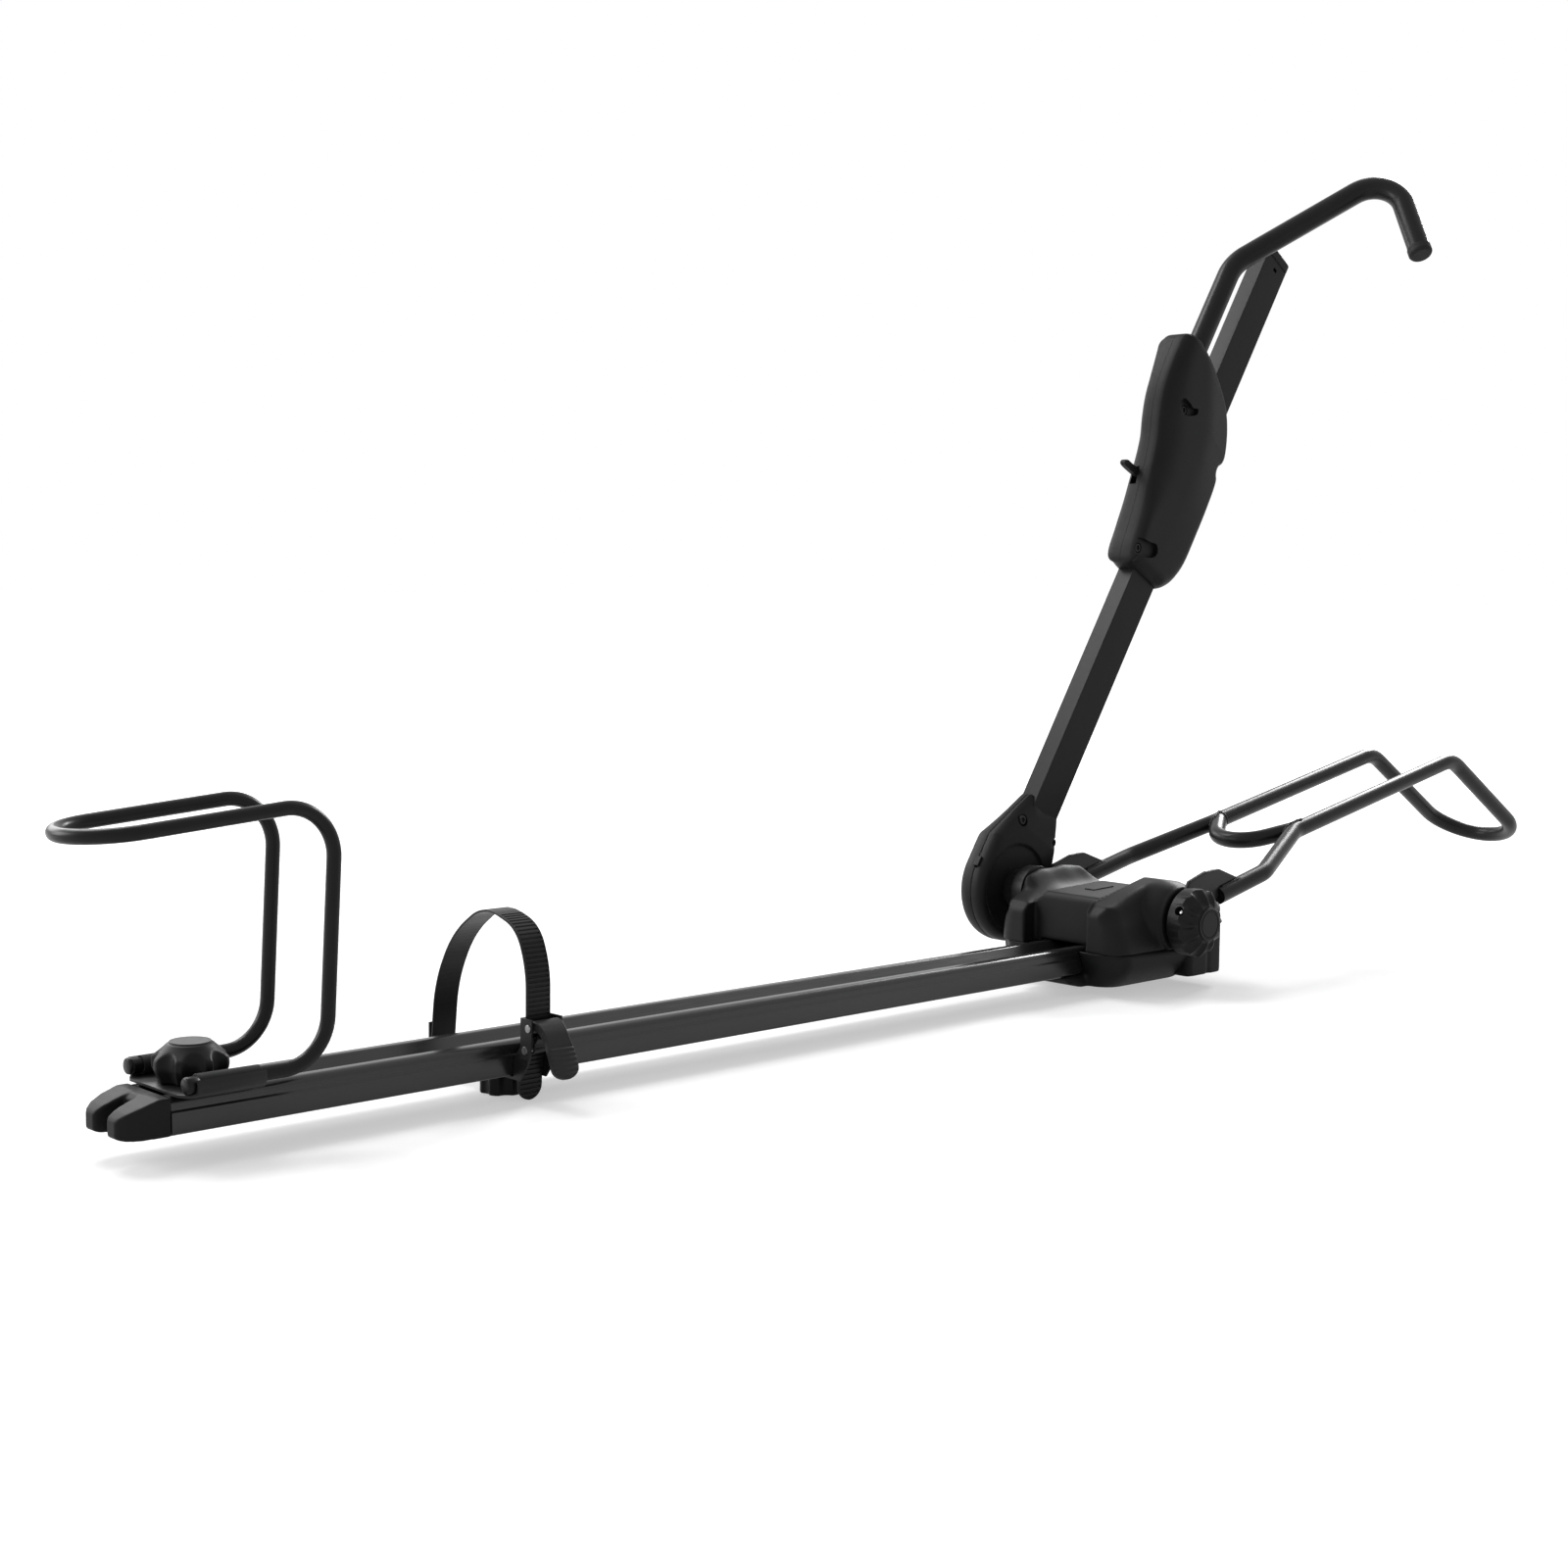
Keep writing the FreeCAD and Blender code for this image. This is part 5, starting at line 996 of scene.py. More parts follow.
def even_path(path, step):
    """The same path in even steps, with each point's distance from the start."""
    lengths = [0.0]
    for a, b in zip(path, path[1:]):
        lengths.append(lengths[-1] + (b - a).length)
    count = max(int(lengths[-1] / step), 2)
    points, k = [], 0
    for n in range(count + 1):
        want = lengths[-1] * n / count
        while k < len(path) - 2 and lengths[k + 1] < want:
            k += 1
        run = lengths[k + 1] - lengths[k]
        points.append((path[k].lerp(path[k + 1], (want - lengths[k]) / run if run else 0), want))
    return points


print("a square bend has", len(soft_path([(0, 0, 0), (50, 0, 0), (50, 50, 0)], [10])), "points")

# %% [markdown]
# Sweep
#
# A section must not roll about on its way round a bend. A strap's section is held to one side, the rail's
# direction. A round tube has no side to hold to, so each step carries the last step's side on, and turns
# it only as far as the path asks.

# %% Carry a section along a path
def sweep(name, path, step, section, side=None):
    """Carry section(distance, whole) along a path: its points are (sideways, outwards) pairs."""
    points = even_path(path, step)
    whole = points[-1][1]
    rings = []
    across = Vector(side) if side else None
    for n, (place, gone) in enumerate(points):
        ahead = (points[min(n + 1, len(points) - 1)][0] - points[max(n - 1, 0)][0]).normalized()
        if side is None:
            across = across - ahead * across.dot(ahead) if across else ahead.orthogonal()
            across.normalize()
        out = ahead.cross(across).normalized()
        rings.append([place + across * s + out * t for s, t in section(gone, whole)])
    return loft(name, rings)


def ring(radius, steps=24):
    """A round section."""
    return circle(0, 0, radius, steps)


print("a round section has", len(ring(1)), "points")

# %% [markdown]
# Rail
#
# The rail is an aluminium extrusion, the same section from end to end: two rounded ridges along its top, a
# channel between them, and a slot above and below. So it is drawn as half a section, each corner with its own
# round, mirrored and run through once. The rounds are what shows: each carries one long line of light.

# %% Rail with rounded ridges
RAIL_ENDS = (-992.0, 60.0)
# Half of the section, each corner as (y, z) with its round. The lower slot's corners are square.
RAIL_HALF = [((4.5, 11), 0), ((30, 11), 2.5), ((30, 26.5), 0.8), ((28.8, 28), 0.8), ((28.8, 37), 5.5),
             ((17.5, 37), 3.5), ((9.2, 29), 2.0), ((4.5, 29), 0.6), ((4.5, 26.5), 0), ((7.5, 26.5), 0),
             ((7.5, 24), 0)]
LOWER_SLOT = [(7.5, 18.5), (7.5, 13.5), (4.5, 13.5)]
SHARP_CORNER = 0.05


def rail_section():
    """The profile's right half with its corners rounded, then its mirror image."""
    corners = [Vector((y, z, 0)) for (y, z), bend in RAIL_HALF]
    half = soft_path(corners, [max(bend, SHARP_CORNER) for spot, bend in RAIL_HALF[1:-1]], 8)
    right = LOWER_SLOT + flat_pairs(half)
    return right + [(-y, z) for y, z in reversed(right)]


def extruded_rail():
    section = rail_section()
    rail = loft("ridged_rail", [[(x, y, z) for y, z in section] for x in RAIL_ENDS])
    stand_for(rail, "rail")
    keep_sharp(rail, 30)
    return rail


rail = extruded_rail()
print("rail", len(rail.data.vertices), "points")

# %% [markdown]
# Wheel strap
#
# A plastic band stands over the rail as an arch. It is smooth on its far half and ribbed from a step on,
# for the buckle's pawl. The ribs could be a bump in the material, but they show in the band's outline, so
# they are cut into the section: between two plain rims the middle sinks and rises once every few
# millimetres. The end of the tail is rounded by narrowing the section along a quarter circle.

# %% Band with ribs
STRAP_X = -702.0
STRAP_CORNERS = [(STRAP_X, y, z) for y, z in ((79.7, 11), (73.7, 67), (50.7, 108), (9.7, 135), (-31.6, 122),
                                              (-43.6, 92), (-43.6, 44), (-34, 22), (-33, -8))]
STRAP_HALF, STRAP_THICK = 11, 0.9
BAND_EDGE, BAND_RIM = 0.3, 1.6
RIB_PITCH, RIB_DEPTH = 3.6, 0.75
STEP_SHARE = 0.52


def strap_section(gone, whole):
    """The band's section: half its width and half its thickness to each side of the path."""
    thick, half, groove = STRAP_THICK, float(STRAP_HALF), 0.0
    step_at = STEP_SHARE * whole
    if gone > step_at:
        on_rib = smooth_step(abs((gone - step_at) % RIB_PITCH - RIB_PITCH / 2), 0.45, 0.85)
        groove = RIB_DEPTH - RIB_DEPTH * on_rib
    else:
        thick -= 0.35 * smooth_step(gone, step_at - 16, step_at - 15)
    to_end = whole - gone
    if to_end < STRAP_HALF:
        half = STRAP_HALF * math.sqrt(max(1 - (1 - to_end / STRAP_HALF) ** 2, 0.02))
    rim, flat, back = max(half - BAND_RIM, 0.2), half - BAND_EDGE, -STRAP_THICK
    return [(-half, back + BAND_EDGE), (-flat, back), (flat, back), (half, back + BAND_EDGE),
            (half, thick - BAND_EDGE), (flat, thick), (rim, thick), (rim - 0.1, thick - groove),
            (-rim + 0.1, thick - groove), (-rim, thick), (-flat, thick), (-half, thick - BAND_EDGE)]


strap = sweep("ribbed_strap", soft_path(STRAP_CORNERS, rounded_bends(STRAP_CORNERS)), 0.6, strap_section,
              (1, 0, 0))
stand_for(strap, "wheel_strap")
shading = strap.modifiers.new("Flat", "WEIGHTED_NORMAL")
shading.keep_sharp = True
keep_sharp(strap, 35)
print("strap", len(strap.data.vertices), "points")

# %% [markdown]
# Buckle lever
#
# The buckle's lever is a pressed channel that curves away from the strap and ends in a ribbed pad for the
# thumb. It is swept like the strap, but its section has two skirts that grow shorter towards the pad, and a
# sine lifts the pad's back into ribs. A short round bar, its hub, is joined to it where it turns.

# %% Lever with a ribbed thumb pad
LEVER_LINE = [(STRAP_X, y, z) for y, z in ((-47.2, 49.5), (-48.5, 53), (-52.5, 55), (-58.5, 53.6), (-64.5, 48),
                                           (-69.3, 40), (-73.4, 32), (-76.8, 24), (-79.6, 15.2))]
LEVER_HALF, LEVER_END_ROUND = 12.2, 9
PAD_FROM, PAD_TO, PAD_RIB = 3.5, 25, 0.55
LEVER_HUB_SPOT, LEVER_HUB_RADIUS = (-50.7, 50), 4.2


def lever_section(gone, whole):
    """A channel: a web with a skirt on each side, narrower in its middle and round at its end."""
    to_end = whole - gone
    half = LEVER_HALF - 1.4 * smooth_step(gone, 8, 22) + 1.2 * smooth_step(gone, whole - 30, whole - 20)
    if to_end < LEVER_END_ROUND:
        half *= math.sqrt(max(1 - (1 - to_end / LEVER_END_ROUND) ** 2, 0.03))
    skirt = 2.4 + 3.4 * (1 - smooth_step(gone, 4, whole - 16))
    low = -min(skirt, 2.4 + 0.4 * gone)
    rib = 0.0
    if PAD_FROM < to_end < PAD_TO:
        rib = PAD_RIB * max(math.sin(2 * math.pi * (to_end - PAD_FROM) / RIB_PITCH), -0.5)
    back = max(half - 2.6, 0.3)
    return [(-half, low), (-half + 1.6, low), (-half + 1.8, -1.2), (half - 1.8, -1.2), (half - 1.6, low),
            (half, low), (half, 0.4), (half - 0.8, 1.1), (back, 1.1 + rib), (-back, 1.1 + rib),
            (-half + 0.8, 1.1), (-half, 0.4)]


lever_path = soft_path(LEVER_LINE, rounded_bends(LEVER_LINE), 6)
lever = sweep("ratchet_lever", lever_path, 0.45, lever_section, (1, 0, 0))
hub_ends = [Vector((STRAP_X + end, *LEVER_HUB_SPOT)) for end in (-LEVER_HALF, LEVER_HALF)]
unite(lever, [sweep("lever_hub", hub_ends, 6, lambda gone, whole: ring(LEVER_HUB_RADIUS))])
stand_for(lever, "buckle_lever")
keep_sharp(lever, 38)
print("buckle lever", len(lever.data.vertices), "points")

# %% [markdown]
# Cradle's cross tube
#
# Between the cradle's two arms runs a cross tube, bent into a U that points back towards the base. It lies in
# the plane of the arms. One bend with straight legs is all it needs, and its ends stop inside the arms, so
# the joint looks closed without any cutting.

# %% Cross tube
# The arms' middle line, as places along the rail and heights.
ARM_RISE = [(167, 97), (265.7, 128), (573, 187.8)]
CROSS_END = (276, 50)
CROSS_MIDDLE = Vector((199, 0, 108.5))
CROSS_RADIUS, CROSS_BEND = 8.5, 36


def arm_height(x):
    """Height of the cradle's arms over a place along the rail."""
    return read_off(ARM_RISE, x)


def cross_end(side):
    """Where the cross tube's middle line meets an arm's."""
    x, y = CROSS_END
    return Vector((x, side * y, arm_height(x)))


cross = sweep("cross_bend", soft_path([cross_end(1), CROSS_MIDDLE, cross_end(-1)], [CROSS_BEND], 24), 2.0,
              lambda gone, whole: ring(CROSS_RADIUS, 32))
stand_for(cross, "cradle_cross_tube")
print("cross tube", len(cross.data.vertices), "points")

# %% [markdown]
# Weld beads
#
# A weld is a row of drops that overlap. Swept along its path, a circle whose radius swells and shrinks every
# few millimetres gives just that. A second, slower wave makes the drops uneven, as a welder's hand does, and
# the radius fades at both ends of the run.

# %% Bead along a path
BEAD_BODY = nodes["cradle_frame"]["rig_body"]
DROP_PITCH = 2.7
DROP_SWELL, HAND_WAVE = 0.16, 0.07


def weld_bead(name, path, radius):
    """A run of overlapping weld drops along a path."""
    def drops(gone, whole):
        swell = 1 + DROP_SWELL * math.sin(2 * math.pi * gone / DROP_PITCH) + HAND_WAVE * math.sin(gone * 1.3)
        fade = math.sqrt(min(min(gone, whole - gone) / radius + 0.05, 1))
        return ring(radius * swell * fade, 12)
    bead = sweep(name, path, 0.5, drops)
    paint(bead, "black_steel")
    bead.data.shade_smooth()
    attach(bead, BEAD_BODY)
    return bead


print("beads ride on", BEAD_BODY)

# %% [markdown]
# Where a round tube meets a round arm
#
# The bead has to follow the line in which the two rounds cut each other. Rather than work that line out,
# each of 48 lines on the cross tube's skin walks forward in small steps until it is an arm's radius away
# from the arm's middle. The spots where they stop are the bead's path.

# %% Walk to the arm
ARM_SPREAD = (83.5, 51, 51)
ARM_SKIN = 8.6
WALK_STEP, WALK_ROOM, WALK_PAST = 0.4, 48, 4
WALKS = 48


def from_arm(spot, side):
    """Distance from a spot to an arm's middle line."""
    corners = [Vector((x, side * y, z)) for (x, z), y in zip(ARM_RISE, ARM_SPREAD)]
    best = math.inf
    for start, end in zip(corners, corners[1:]):
        run = end - start
        share = min(max((spot - start).dot(run) / run.length_squared, 0), 1)
        best = min(best, (spot - start - run * share).length)
    return best


def junction(side):
    """The line on the cross tube's skin where it meets an arm."""
    end = cross_end(side)
    way = (end - CROSS_MIDDLE).normalized()
    other = way.cross(Vector((0, 0, 1))).normalized()
    up = other.cross(way)
    line = []
    for k in range(WALKS + 1):
        angle = 2 * math.pi * k / WALKS
        spot = end - way * WALK_ROOM + (other * math.cos(angle) + up * math.sin(angle)) * CROSS_RADIUS
        while from_arm(spot, side) > ARM_SKIN and (spot - end).dot(way) < WALK_PAST:
            spot = spot + way * WALK_STEP
        line.append(spot)
    return line


print("the bead's first point is at", [round(value, 1) for value in junction(-1)[0]])

# %% [markdown]
# Six beads
#
# Each arm of the cradle has three beads: one round the end of the cross tube, and one on each face of the
# plate that it is welded to. The plates' beads are short and straight and climb with the arm.

# %% Lay the beads
PLATE_FACES = (("in", 81.2), ("out", 85.8))
PLATE_BEAD_START, PLATE_BEAD_STEP = Vector((93, 0, 88.6)), Vector((10, 0, 2.2))
welds = 0
for side, word in ((-1, "near"), (1, "far")):
    weld_bead(f"weld_cross_{word}", junction(side), 1.5)
    for face, y in PLATE_FACES:
        start = PLATE_BEAD_START + Vector((0, side * y, 0))
        run = [start + PLATE_BEAD_STEP * k for k in range(4)]
        weld_bead(f"weld_plate_{word}_{face}", run, 1.4)
        welds += 1
    welds += 1
print(welds, "welds")

# %% [markdown]
# Cradle knob
#
# The large knob has twelve petals with dished faces, so that fingers find a hold. One formula gives the
# face: it falls away towards the rim, and a dish sinks into the middle of each petal and fades out towards
# the hub. The knob is then a lathe whose profile changes with the angle, in steps small enough for the
# narrow ridges between the petals.

# %% Petals
PETALS, KNOB_STEPS = 12, 288
KNOB_BACK, KNOB_RIM, KNOB_FRONT = -85.8, -102.5, -111.6
HUB_FLOOR, HUB_WELL_RADIUS, BORE = -104, 16.2, 7
KNOB_RADIUS = 32.3
PETAL_RADII = [HUB_WELL_RADIUS, 17, 18.5, 20, 21.5, 23, 24.5, 26, 27.5, 29, 30, 30.8, 31.4, 31.8, 32.1,
               KNOB_RADIUS]
DISH_DEPTH, RIM_DIP = 4.2, 0.9


def petal_spot(radius, dish):
    """A point of the face as (radius, y), where dish is one in a petal's middle and nought between petals."""
    reach = (radius - 16) / 16.3
    fall = (KNOB_RIM - KNOB_FRONT) * (0.25 * reach + 0.75 * reach ** 2.2)
    fade = math.sin(math.pi * min(reach * 0.62 + 0.14, 1)) * smooth_step(reach, 0.0, 0.3)
    return radius - RIM_DIP * dish * smooth_step(reach, 0.75, 1), KNOB_FRONT + fall + DISH_DEPTH * dish * fade


def petalled_knob():
    sides = [(KNOB_RADIUS, KNOB_RIM + 3.4), (KNOB_RADIUS, KNOB_BACK - 1), (31.4, KNOB_BACK), (BORE, KNOB_BACK),
             (BORE, HUB_FLOOR), (HUB_WELL_RADIUS, HUB_FLOOR)]
    count = len(PETAL_RADII) + len(sides)
    points, faces = [], []
    for k in range(KNOB_STEPS):
        angle = 2 * math.pi * k / KNOB_STEPS
        off_middle = abs((PETALS * angle / (2 * math.pi)) % 1 - 0.5)
        dish = max(1 - (off_middle / 0.44) ** 2.4, 0)
        for radius, y in [petal_spot(radius, dish) for radius in PETAL_RADII] + sides:
            points.append((PIVOT_X + radius * math.cos(angle), y, PIVOT_Z + radius * math.sin(angle)))
        here, there = k * count, (k + 1) % KNOB_STEPS * count
        faces += [(here + j, here + (j + 1) % count, there + (j + 1) % count, there + j) for j in range(count)]
    return new_piece("petalled_knob", points, faces)


knob = petalled_knob()
print("knob", len(knob.data.vertices), "points")

# %% [markdown]
# Lock and hub cap
#
# A small lock sits in the knob's side wall: a round way with a bright plug at its bottom, the one bright spot
# on the black base. The hub cap covers the bolt's end and has a raised ring. Plug and cap are turned pieces,
# so the lathe makes both, and a swept circle cuts the way.

# %% Lock in the knob's side, and the hub cap
LOCK_TURN = math.radians(154)
LOCK_Y, LOCK_OFF_AXIS = -97.8, 25.3
LOCK_WAY_RADIUS, LOCK_WAY_LONG = 4.6, 12
lock_out = Vector((math.cos(LOCK_TURN), 0, math.sin(LOCK_TURN)))
lock_seat = Vector((PIVOT_X, LOCK_Y, PIVOT_Z)) + lock_out * LOCK_OFF_AXIS
carve(knob, [sweep("lock_way", [lock_seat, lock_seat + lock_out * LOCK_WAY_LONG], 6,
                   lambda gone, whole: ring(LOCK_WAY_RADIUS, 40))])
stand_for(knob, "cradle_knob")
keep_sharp(knob, 40)

PLUG_PROFILE = [(0, 0), (2.1, 0), (2.1, 3.4), (1.7, 3.8), (0, 3.8)]
lathe("lock_plug", PLUG_PROFILE, lock_seat, lock_out, "zinc_steel", nodes["knob_lock_plug"]["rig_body"],
      replaced=["knob_lock_plug"])
HUB_PROFILE = [(0, 0), (15.6, 0), (15.9, 0.4), (15.9, 7.6), (15.3, 8.3), (13.6, 8.3), (13.0, 7.7), (12.4, 7.7),
               (11.8, 8.4), (0, 8.6)]
hub = lathe("hub_cap", HUB_PROFILE, (PIVOT_X, HUB_FLOOR - 0.6, PIVOT_Z), (0, -1, 0), "knob_plastic",
            nodes["knob_hub_cap"]["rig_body"], replaced=["knob_hub_cap"])
keep_sharp(hub, 30)
print("hub cap", len(hub.data.vertices), "points")

# %% [markdown]
# Rail end cap
#
# The rail's rear end is closed by a moulded cap with two blunt lobes and a notch between them. Boxes whose
# section shrinks along the rail rough it out. The three overlap, which is no trouble: the even skin wraps
# them into one body, and relaxing rounds it all, also inside the notch, where a bevel would fail.

# %% Cap with two lobes
# Each row of a box is x, then y from and to, then z from and to.
LOBE = [(-992.2, 6.5, 30, 11, 37), (-1001, 6.5, 30, 11, 37), (-1013, 6.5, 29, 11, 33.2),
        (-1022, 7.5, 26, 11.3, 29.5), (-1026.5, 8.5, 22.5, 12.4, 26.5), (-1028, 10, 20.5, 14, 24.5)]
OTHER_LOBE = [(x, -y1, -y0, z0, z1) for x, y0, y1, z0, z1 in LOBE]
CAP_ROOT = [(-992.2, -8, 8, 11, 37), (-1003, -8, 8, 11, 36.5), (-1007, -8, 8, 13, 33)]


def shrinking_box(name, rows):
    """A box whose section changes along the rail."""
    return loft(name, [[(x, y0, z0), (x, y1, z0), (x, y1, z1), (x, y0, z1)] for x, y0, y1, z0, z1 in rows])


cap = shrinking_box("end_cap", LOBE)
unite(cap, [shrinking_box("other_lobe", OTHER_LOBE), shrinking_box("cap_root", CAP_ROOT)])
even_skin(cap, 0.8)
relax(cap, 12)
stand_for(cap, "rail_end_cap")
print("end cap", len(cap.data.vertices), "points")

# %% [markdown]
# Hoop bracket
#
# A flat plate clamps the hoop's two feet to the rail. Its ends curl up round the rods, which a pressed plate
# does in arcs. So the plate is swept across the rail: a straight run, with an arc at each end. It narrows
# towards the curls. The rods' cut ends, which stick out behind it, get small turned tips.

# %% Curled plate and rod tips
ROD_Y, ROD_Z = 40.2, 46.15
CURL_RADIUS = 7.9
PLATE_X, PLATE_HALF, PLATE_THICK = -957.5, 32.5, 2.2
TIP_PROFILE = [(0, 0), (4.6, 0), (5.5, 0.5), (5.9, 1.4), (5.9, 9), (5.3, 9.6), (0, 9.6)]
TIP_START = (-988.4, 45.9)


def bracket_line():
    """Middle line of the bent plate, from one curl to the other."""
    turns = [math.radians(-90 + 10 * k) for k in range(13)]
    half = [(34, ROD_Z - CURL_RADIUS)]
    half += [(ROD_Y + CURL_RADIUS * math.cos(turn), ROD_Z + CURL_RADIUS * math.sin(turn)) for turn in turns]
    return [Vector((PLATE_X, -y, z)) for y, z in reversed(half)] + [Vector((PLATE_X, y, z)) for y, z in half]


def plate_section(gone, whole):
    half = PLATE_HALF - 7 * (1 - smooth_step(min(gone, whole - gone), 10, 26))
    thick = PLATE_THICK / 2
    return [(-half, -0.9), (-half + 0.4, -thick), (half - 0.4, -thick), (half, -0.9), (half, 0.9),
            (half - 0.4, thick), (-half + 0.4, thick), (-half, 0.9)]


for side, word in ((-1, "near"), (1, "far")):
    lathe(f"rod_tip_{word}", TIP_PROFILE, (TIP_START[0], side * ROD_Y, TIP_START[1]), (1, 0, 0), "black_tube",
          nodes["rear_hoop"]["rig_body"])
bracket = sweep("curled_bracket", bracket_line(), 1.2, plate_section, (1, 0, 0))
stand_for(bracket, "hoop_bracket")
keep_sharp(bracket, 40)
print("hoop bracket", len(bracket.data.vertices), "points")

# %% [markdown]
# Hoop knob
#
# The hand knob on the bracket is a lobed moulding that is drawn in at its foot and rounded at its shoulder.
# Its CAD node has the lobes already, with straight sides, so a skin of it is only scaled about its
# axis by how high a point lies, and then relaxed.

# %% Knob with a drawn-in foot
HOOP_KNOB_X, HOOP_KNOB_FOOT, HOOP_KNOB_HIGH = -962, 39.8, 26


def swell_knob(x, y, z):
    """Round the knob's shoulder and draw its foot in."""
    share = min(max((z - HOOP_KNOB_FOOT) / HOOP_KNOB_HIGH, 0), 1)
    scale = 0.86 + 0.14 * smooth_step(share, 0, 0.45)
    if share > 0.5:
        scale *= 1 - 0.10 * smooth_step(share, 0.5, 1.0)
    return HOOP_KNOB_X + (x - HOOP_KNOB_X) * scale, y * scale, z


hoop_grip = skin_of("hoop_knob", 0.8)
move_points(hoop_grip, swell_knob)
relax(hoop_grip, 14)
print("hoop knob", len(hoop_grip.data.vertices), "points")

# %% [markdown]
# White without glare
#
# A catalogue picture stands on pure white. Lighting a floor until it is white would also flood the black
# pieces. So floor and world each have two shaders: a plain one that lights the scene, and a white one that
# only rays of sight, mirror rays and glass rays meet. Mirror rays are among them so that gloss shows the same
# white that surrounds the object.

# %% Two shaders in one
def show_instead(tree, lit, shown, x, y):
    """The lit shader lights the scene, while camera, mirror and glass rays see the shown one."""
    seen = add(tree, "ShaderNodeLightPath", x, y)
    found = seen.outputs["Is Camera Ray"]
    for k, kind in enumerate(("Is Glossy Ray", "Is Transmission Ray")):
        either = add(tree, "ShaderNodeMath", x + 200 * (k + 1), y)
        either.operation = "MAXIMUM"
        tree.links.new(found, either.inputs[0])
        tree.links.new(seen.outputs[kind], either.inputs[1])
        found = either.outputs[0]
    mix = add(tree, "ShaderNodeMixShader", x + 600, y)
    tree.links.new(found, mix.inputs["Fac"])
    tree.links.new(lit, mix.inputs[1])
    tree.links.new(shown, mix.inputs[2])
    return mix.outputs[0]


WORLD_FILL = 0.3


def studio_world(strength):
    """An even fill for the scene, and plain white for what is seen."""
    world = bpy.data.worlds.new("studio")
    bpy.context.scene.world = world
    world.use_nodes = True
    tree = world.node_tree
    background = tree.nodes["Background"]
    background.inputs["Color"].default_value = (1, 1, 1, 1)
    background.inputs["Strength"].default_value = strength
    white = add(tree, "ShaderNodeBackground", -700, -100, Color=(1, 1, 1, 1), Strength=1.0)
    shown = show_instead(tree, background.outputs[0], white.outputs[0], -700, 400)
    tree.links.new(shown, tree.nodes["World Output"].inputs["Surface"])


studio_world(WORLD_FILL)
print("world fill", WORLD_FILL)

# %% [markdown]
# Floor
#
# The floor keeps the carrier's shadow, because a thing without a shadow seems to float. Close to the carrier
# it is a pale, matt sheet, lifted a little, on which a shadow shows. Further out the lift grows until the
# sheet is as white as the world, so no horizon shows. A smooth step over the distance from the middle hides
# the change.

# %% Pale floor that turns white
FLOOR_HALF = 40.0
FLOOR_GREY = (0.62, 0.62, 0.62, 1)
SHADOW_REACH, WHITE_REACH = 1.0, 3.4
NEAR_LIFT = 0.46


def floor_material():
    """Pale and matt, and lifted to white for rays of sight, less so close to the carrier."""
    material = bpy.data.materials.new("pale_floor")
    material.use_nodes = True
    tree = material.node_tree
    tree.nodes.remove(tree.nodes["Principled BSDF"])
    lit = add(tree, "ShaderNodeBsdfDiffuse", -200, 300, Color=FLOOR_GREY)
    space = add(tree, "ShaderNodeTexCoord", -1100, -300)
    reach = add(tree, "ShaderNodeVectorMath", -900, -300)
    reach.operation = "LENGTH"
    tree.links.new(space.outputs["Object"], reach.inputs[0])
    lift = add(tree, "ShaderNodeMapRange", -700, -300, From_Min=SHADOW_REACH, From_Max=WHITE_REACH,
               To_Min=NEAR_LIFT, To_Max=1.0)
    lift.interpolation_type = "SMOOTHSTEP"
    tree.links.new(reach.outputs["Value"], lift.inputs["Value"])
    white = add(tree, "ShaderNodeEmission", -450, -300, Color=(1, 1, 1, 1))
    tree.links.new(lift.outputs["Result"], white.inputs["Strength"])
    shaded = add(tree, "ShaderNodeBsdfDiffuse", -450, -100, Color=FLOOR_GREY)
    seen = add(tree, "ShaderNodeAddShader", -200, -150)
    tree.links.new(white.outputs[0], seen.inputs[0])
    tree.links.new(shaded.outputs[0], seen.inputs[1])
    shown = show_instead(tree, lit.outputs[0], seen.outputs[0], 0, 500)
    tree.links.new(shown, tree.nodes["Material Output"].inputs["Surface"])
    return material


def studio_floor(height):
    half = FLOOR_HALF
    corners = [(-half, -half, 0), (half, -half, 0), (half, half, 0), (-half, half, 0)]
    mesh = bpy.data.meshes.new("floor")
    mesh.from_pydata(corners, [], [(0, 1, 2, 3)])
    floor = bpy.data.objects.new("floor", mesh)
    bpy.context.scene.collection.objects.link(floor)
    floor.location.z = height
    floor.data.materials.append(floor_material())


studio_floor(frame_box[0][2])
print("floor at", round(frame_box[0][2], 4), "m")

# %% [markdown]
# Lamps
#
# Black pieces are read by the light on their edges. Four large soft boxes stand behind and beside the
# carrier, so that each tube and edge carries a line of light along its top and the faces towards the camera
# stay dark. Large lamps give soft lines, and small ones would give sharp dots.

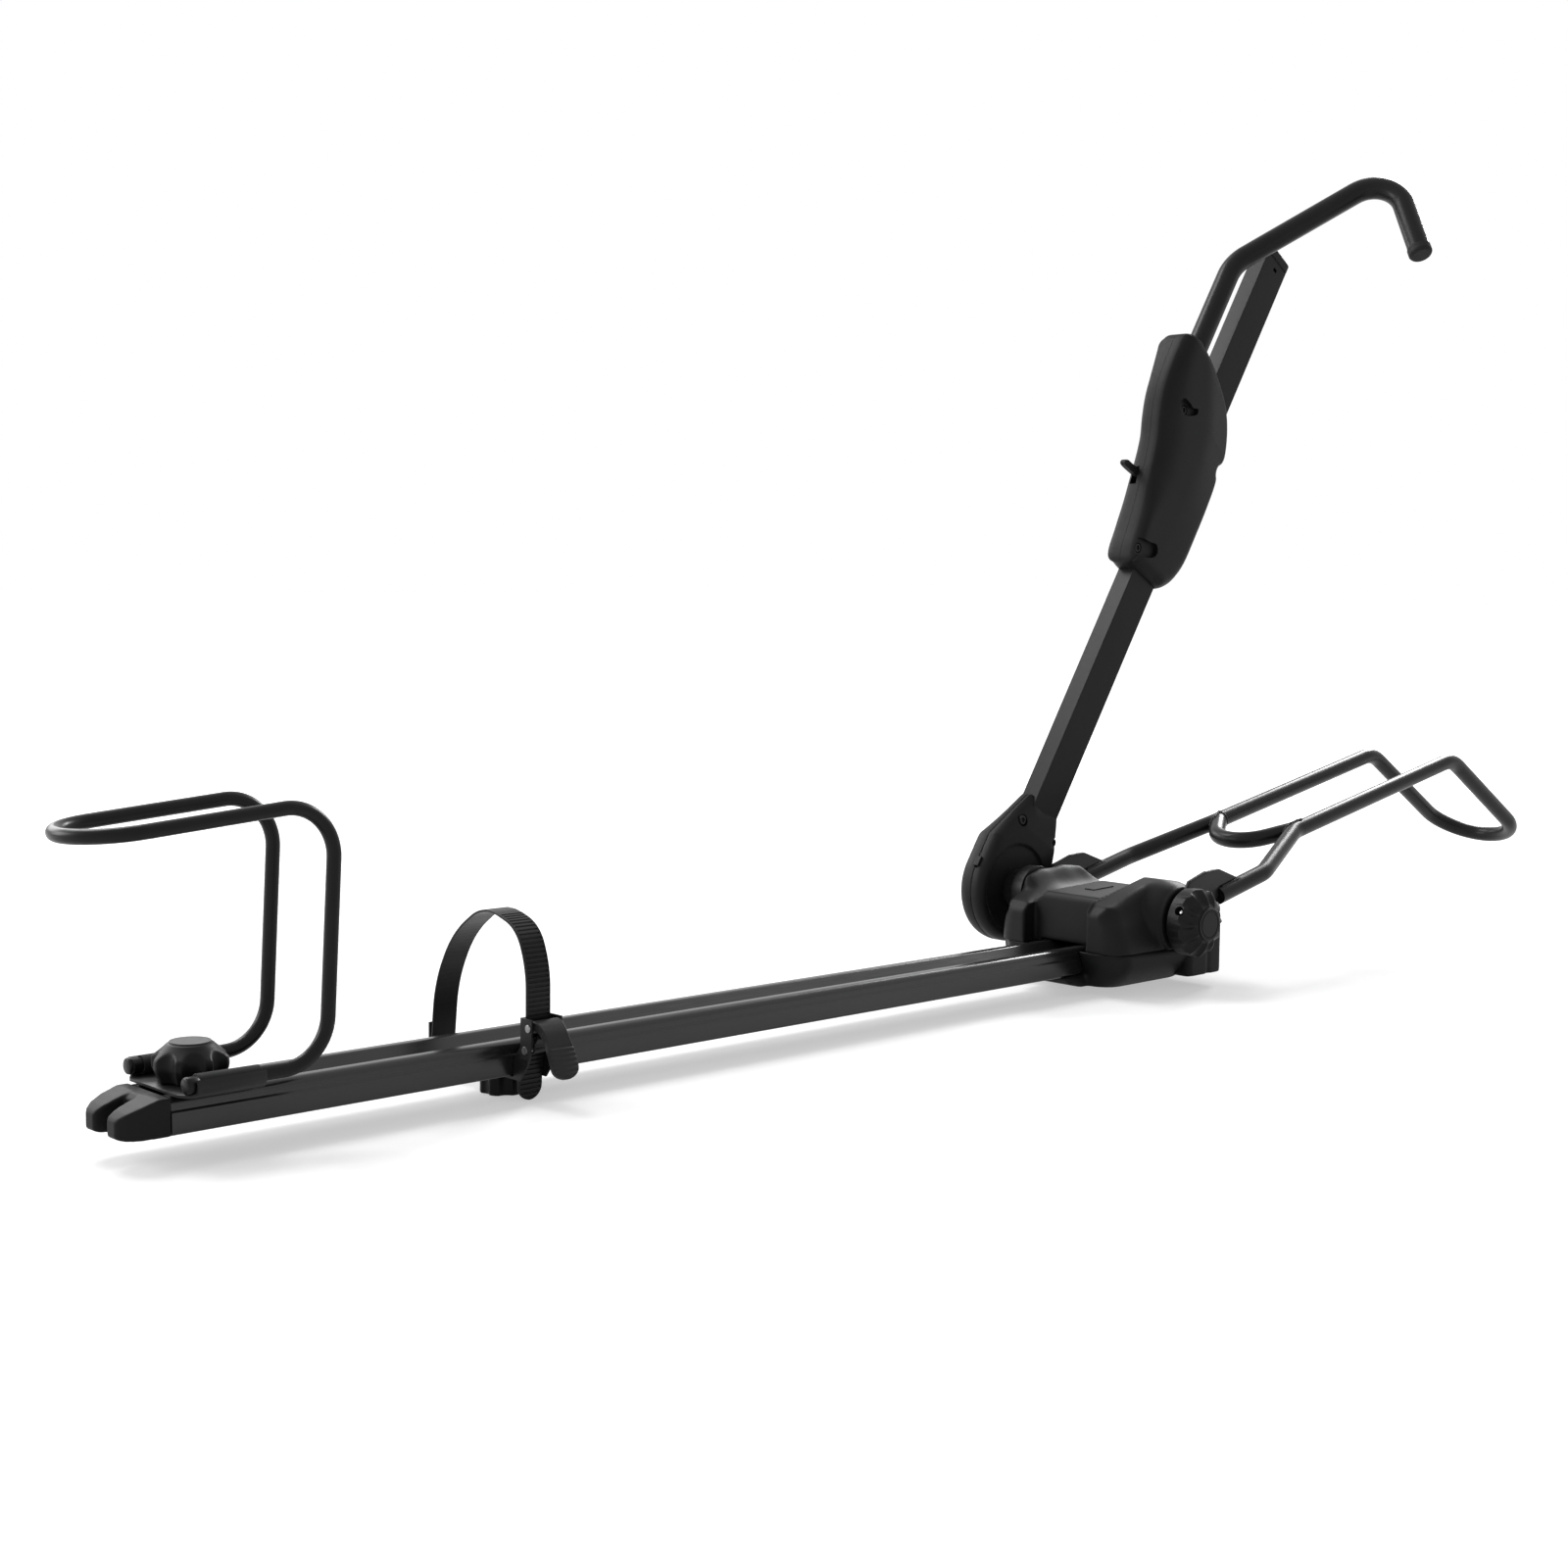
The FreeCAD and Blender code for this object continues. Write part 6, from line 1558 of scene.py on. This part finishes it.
# %% Soft boxes
# Each soft box has its place, its width and height in metres, and its power in watts.
SOFT_BOXES = {"soft_box_above": ((-0.7, 1.9, 2.7), 1.6, 1.2, 62),
              "soft_box_left": ((-2.5, 1.8, 1.2), 1.4, 1.2, 44),
              "soft_box_back": ((-0.6, 3.2, 1.5), 2.4, 1.0, 40),
              "soft_box_right": ((2.8, 0.9, 1.9), 0.9, 1.0, 82)}
CARRIER_MIDDLE = Vector((-0.1, 0.0, 0.25))


def soft_box(name, place, width, height, power):
    """A rectangular lamp that faces the carrier's middle."""
    light = bpy.data.lights.new(name, "AREA")
    light.shape = "RECTANGLE"
    light.size = width
    light.size_y = height
    light.energy = power
    holder = bpy.data.objects.new(name, light)
    bpy.context.scene.collection.objects.link(holder)
    holder.location = place
    holder.rotation_euler = (CARRIER_MIDDLE - Vector(place)).to_track_quat("-Z", "Y").to_euler()


for name, setting in SOFT_BOXES.items():
    soft_box(name, *setting)
print(len(SOFT_BOXES), "soft boxes")

# %% [markdown]
# Camera
#
# The camera looks from where the photographer stood, low and a little behind the carrier's side. Its
# place, its angles and its lens were worked out from the carrier's straight edges. The line of sight and
# its two cross directions make up the camera's axes, with a small roll turned in about the line of sight.

# %% The photographer's place
CAMERA_PLACE = (-1.6927, -1.3527, 0.3813)
TURN = math.radians(43.43)
DOWN = math.radians(5.24)
ROLL = math.radians(0.64)
LENS, SENSOR = 51.22, 36


def studio_camera():
    """A camera that looks along the photograph's line of sight, turned about it by the small roll."""
    sight = Vector((math.sin(TURN) * math.cos(DOWN), math.cos(TURN) * math.cos(DOWN), -math.sin(DOWN)))
    level = Vector((math.cos(TURN), -math.sin(TURN), 0))
    upright = level.cross(sight)
    right = level * math.cos(ROLL) + upright * math.sin(ROLL)
    up = upright * math.cos(ROLL) - level * math.sin(ROLL)
    lens = bpy.data.cameras.new("camera")
    lens.lens = LENS
    lens.sensor_width = SENSOR
    lens.clip_start = 0.05
    holder = bpy.data.objects.new("camera", lens)
    bpy.context.scene.collection.objects.link(holder)
    holder.matrix_world = Matrix.Translation(CAMERA_PLACE) @ Matrix((right, up, -sight)).transposed().to_4x4()
    bpy.context.scene.camera = holder


studio_camera()
bpy.context.scene.view_settings.view_transform = "Standard"
print("camera", LENS, "mm lens")
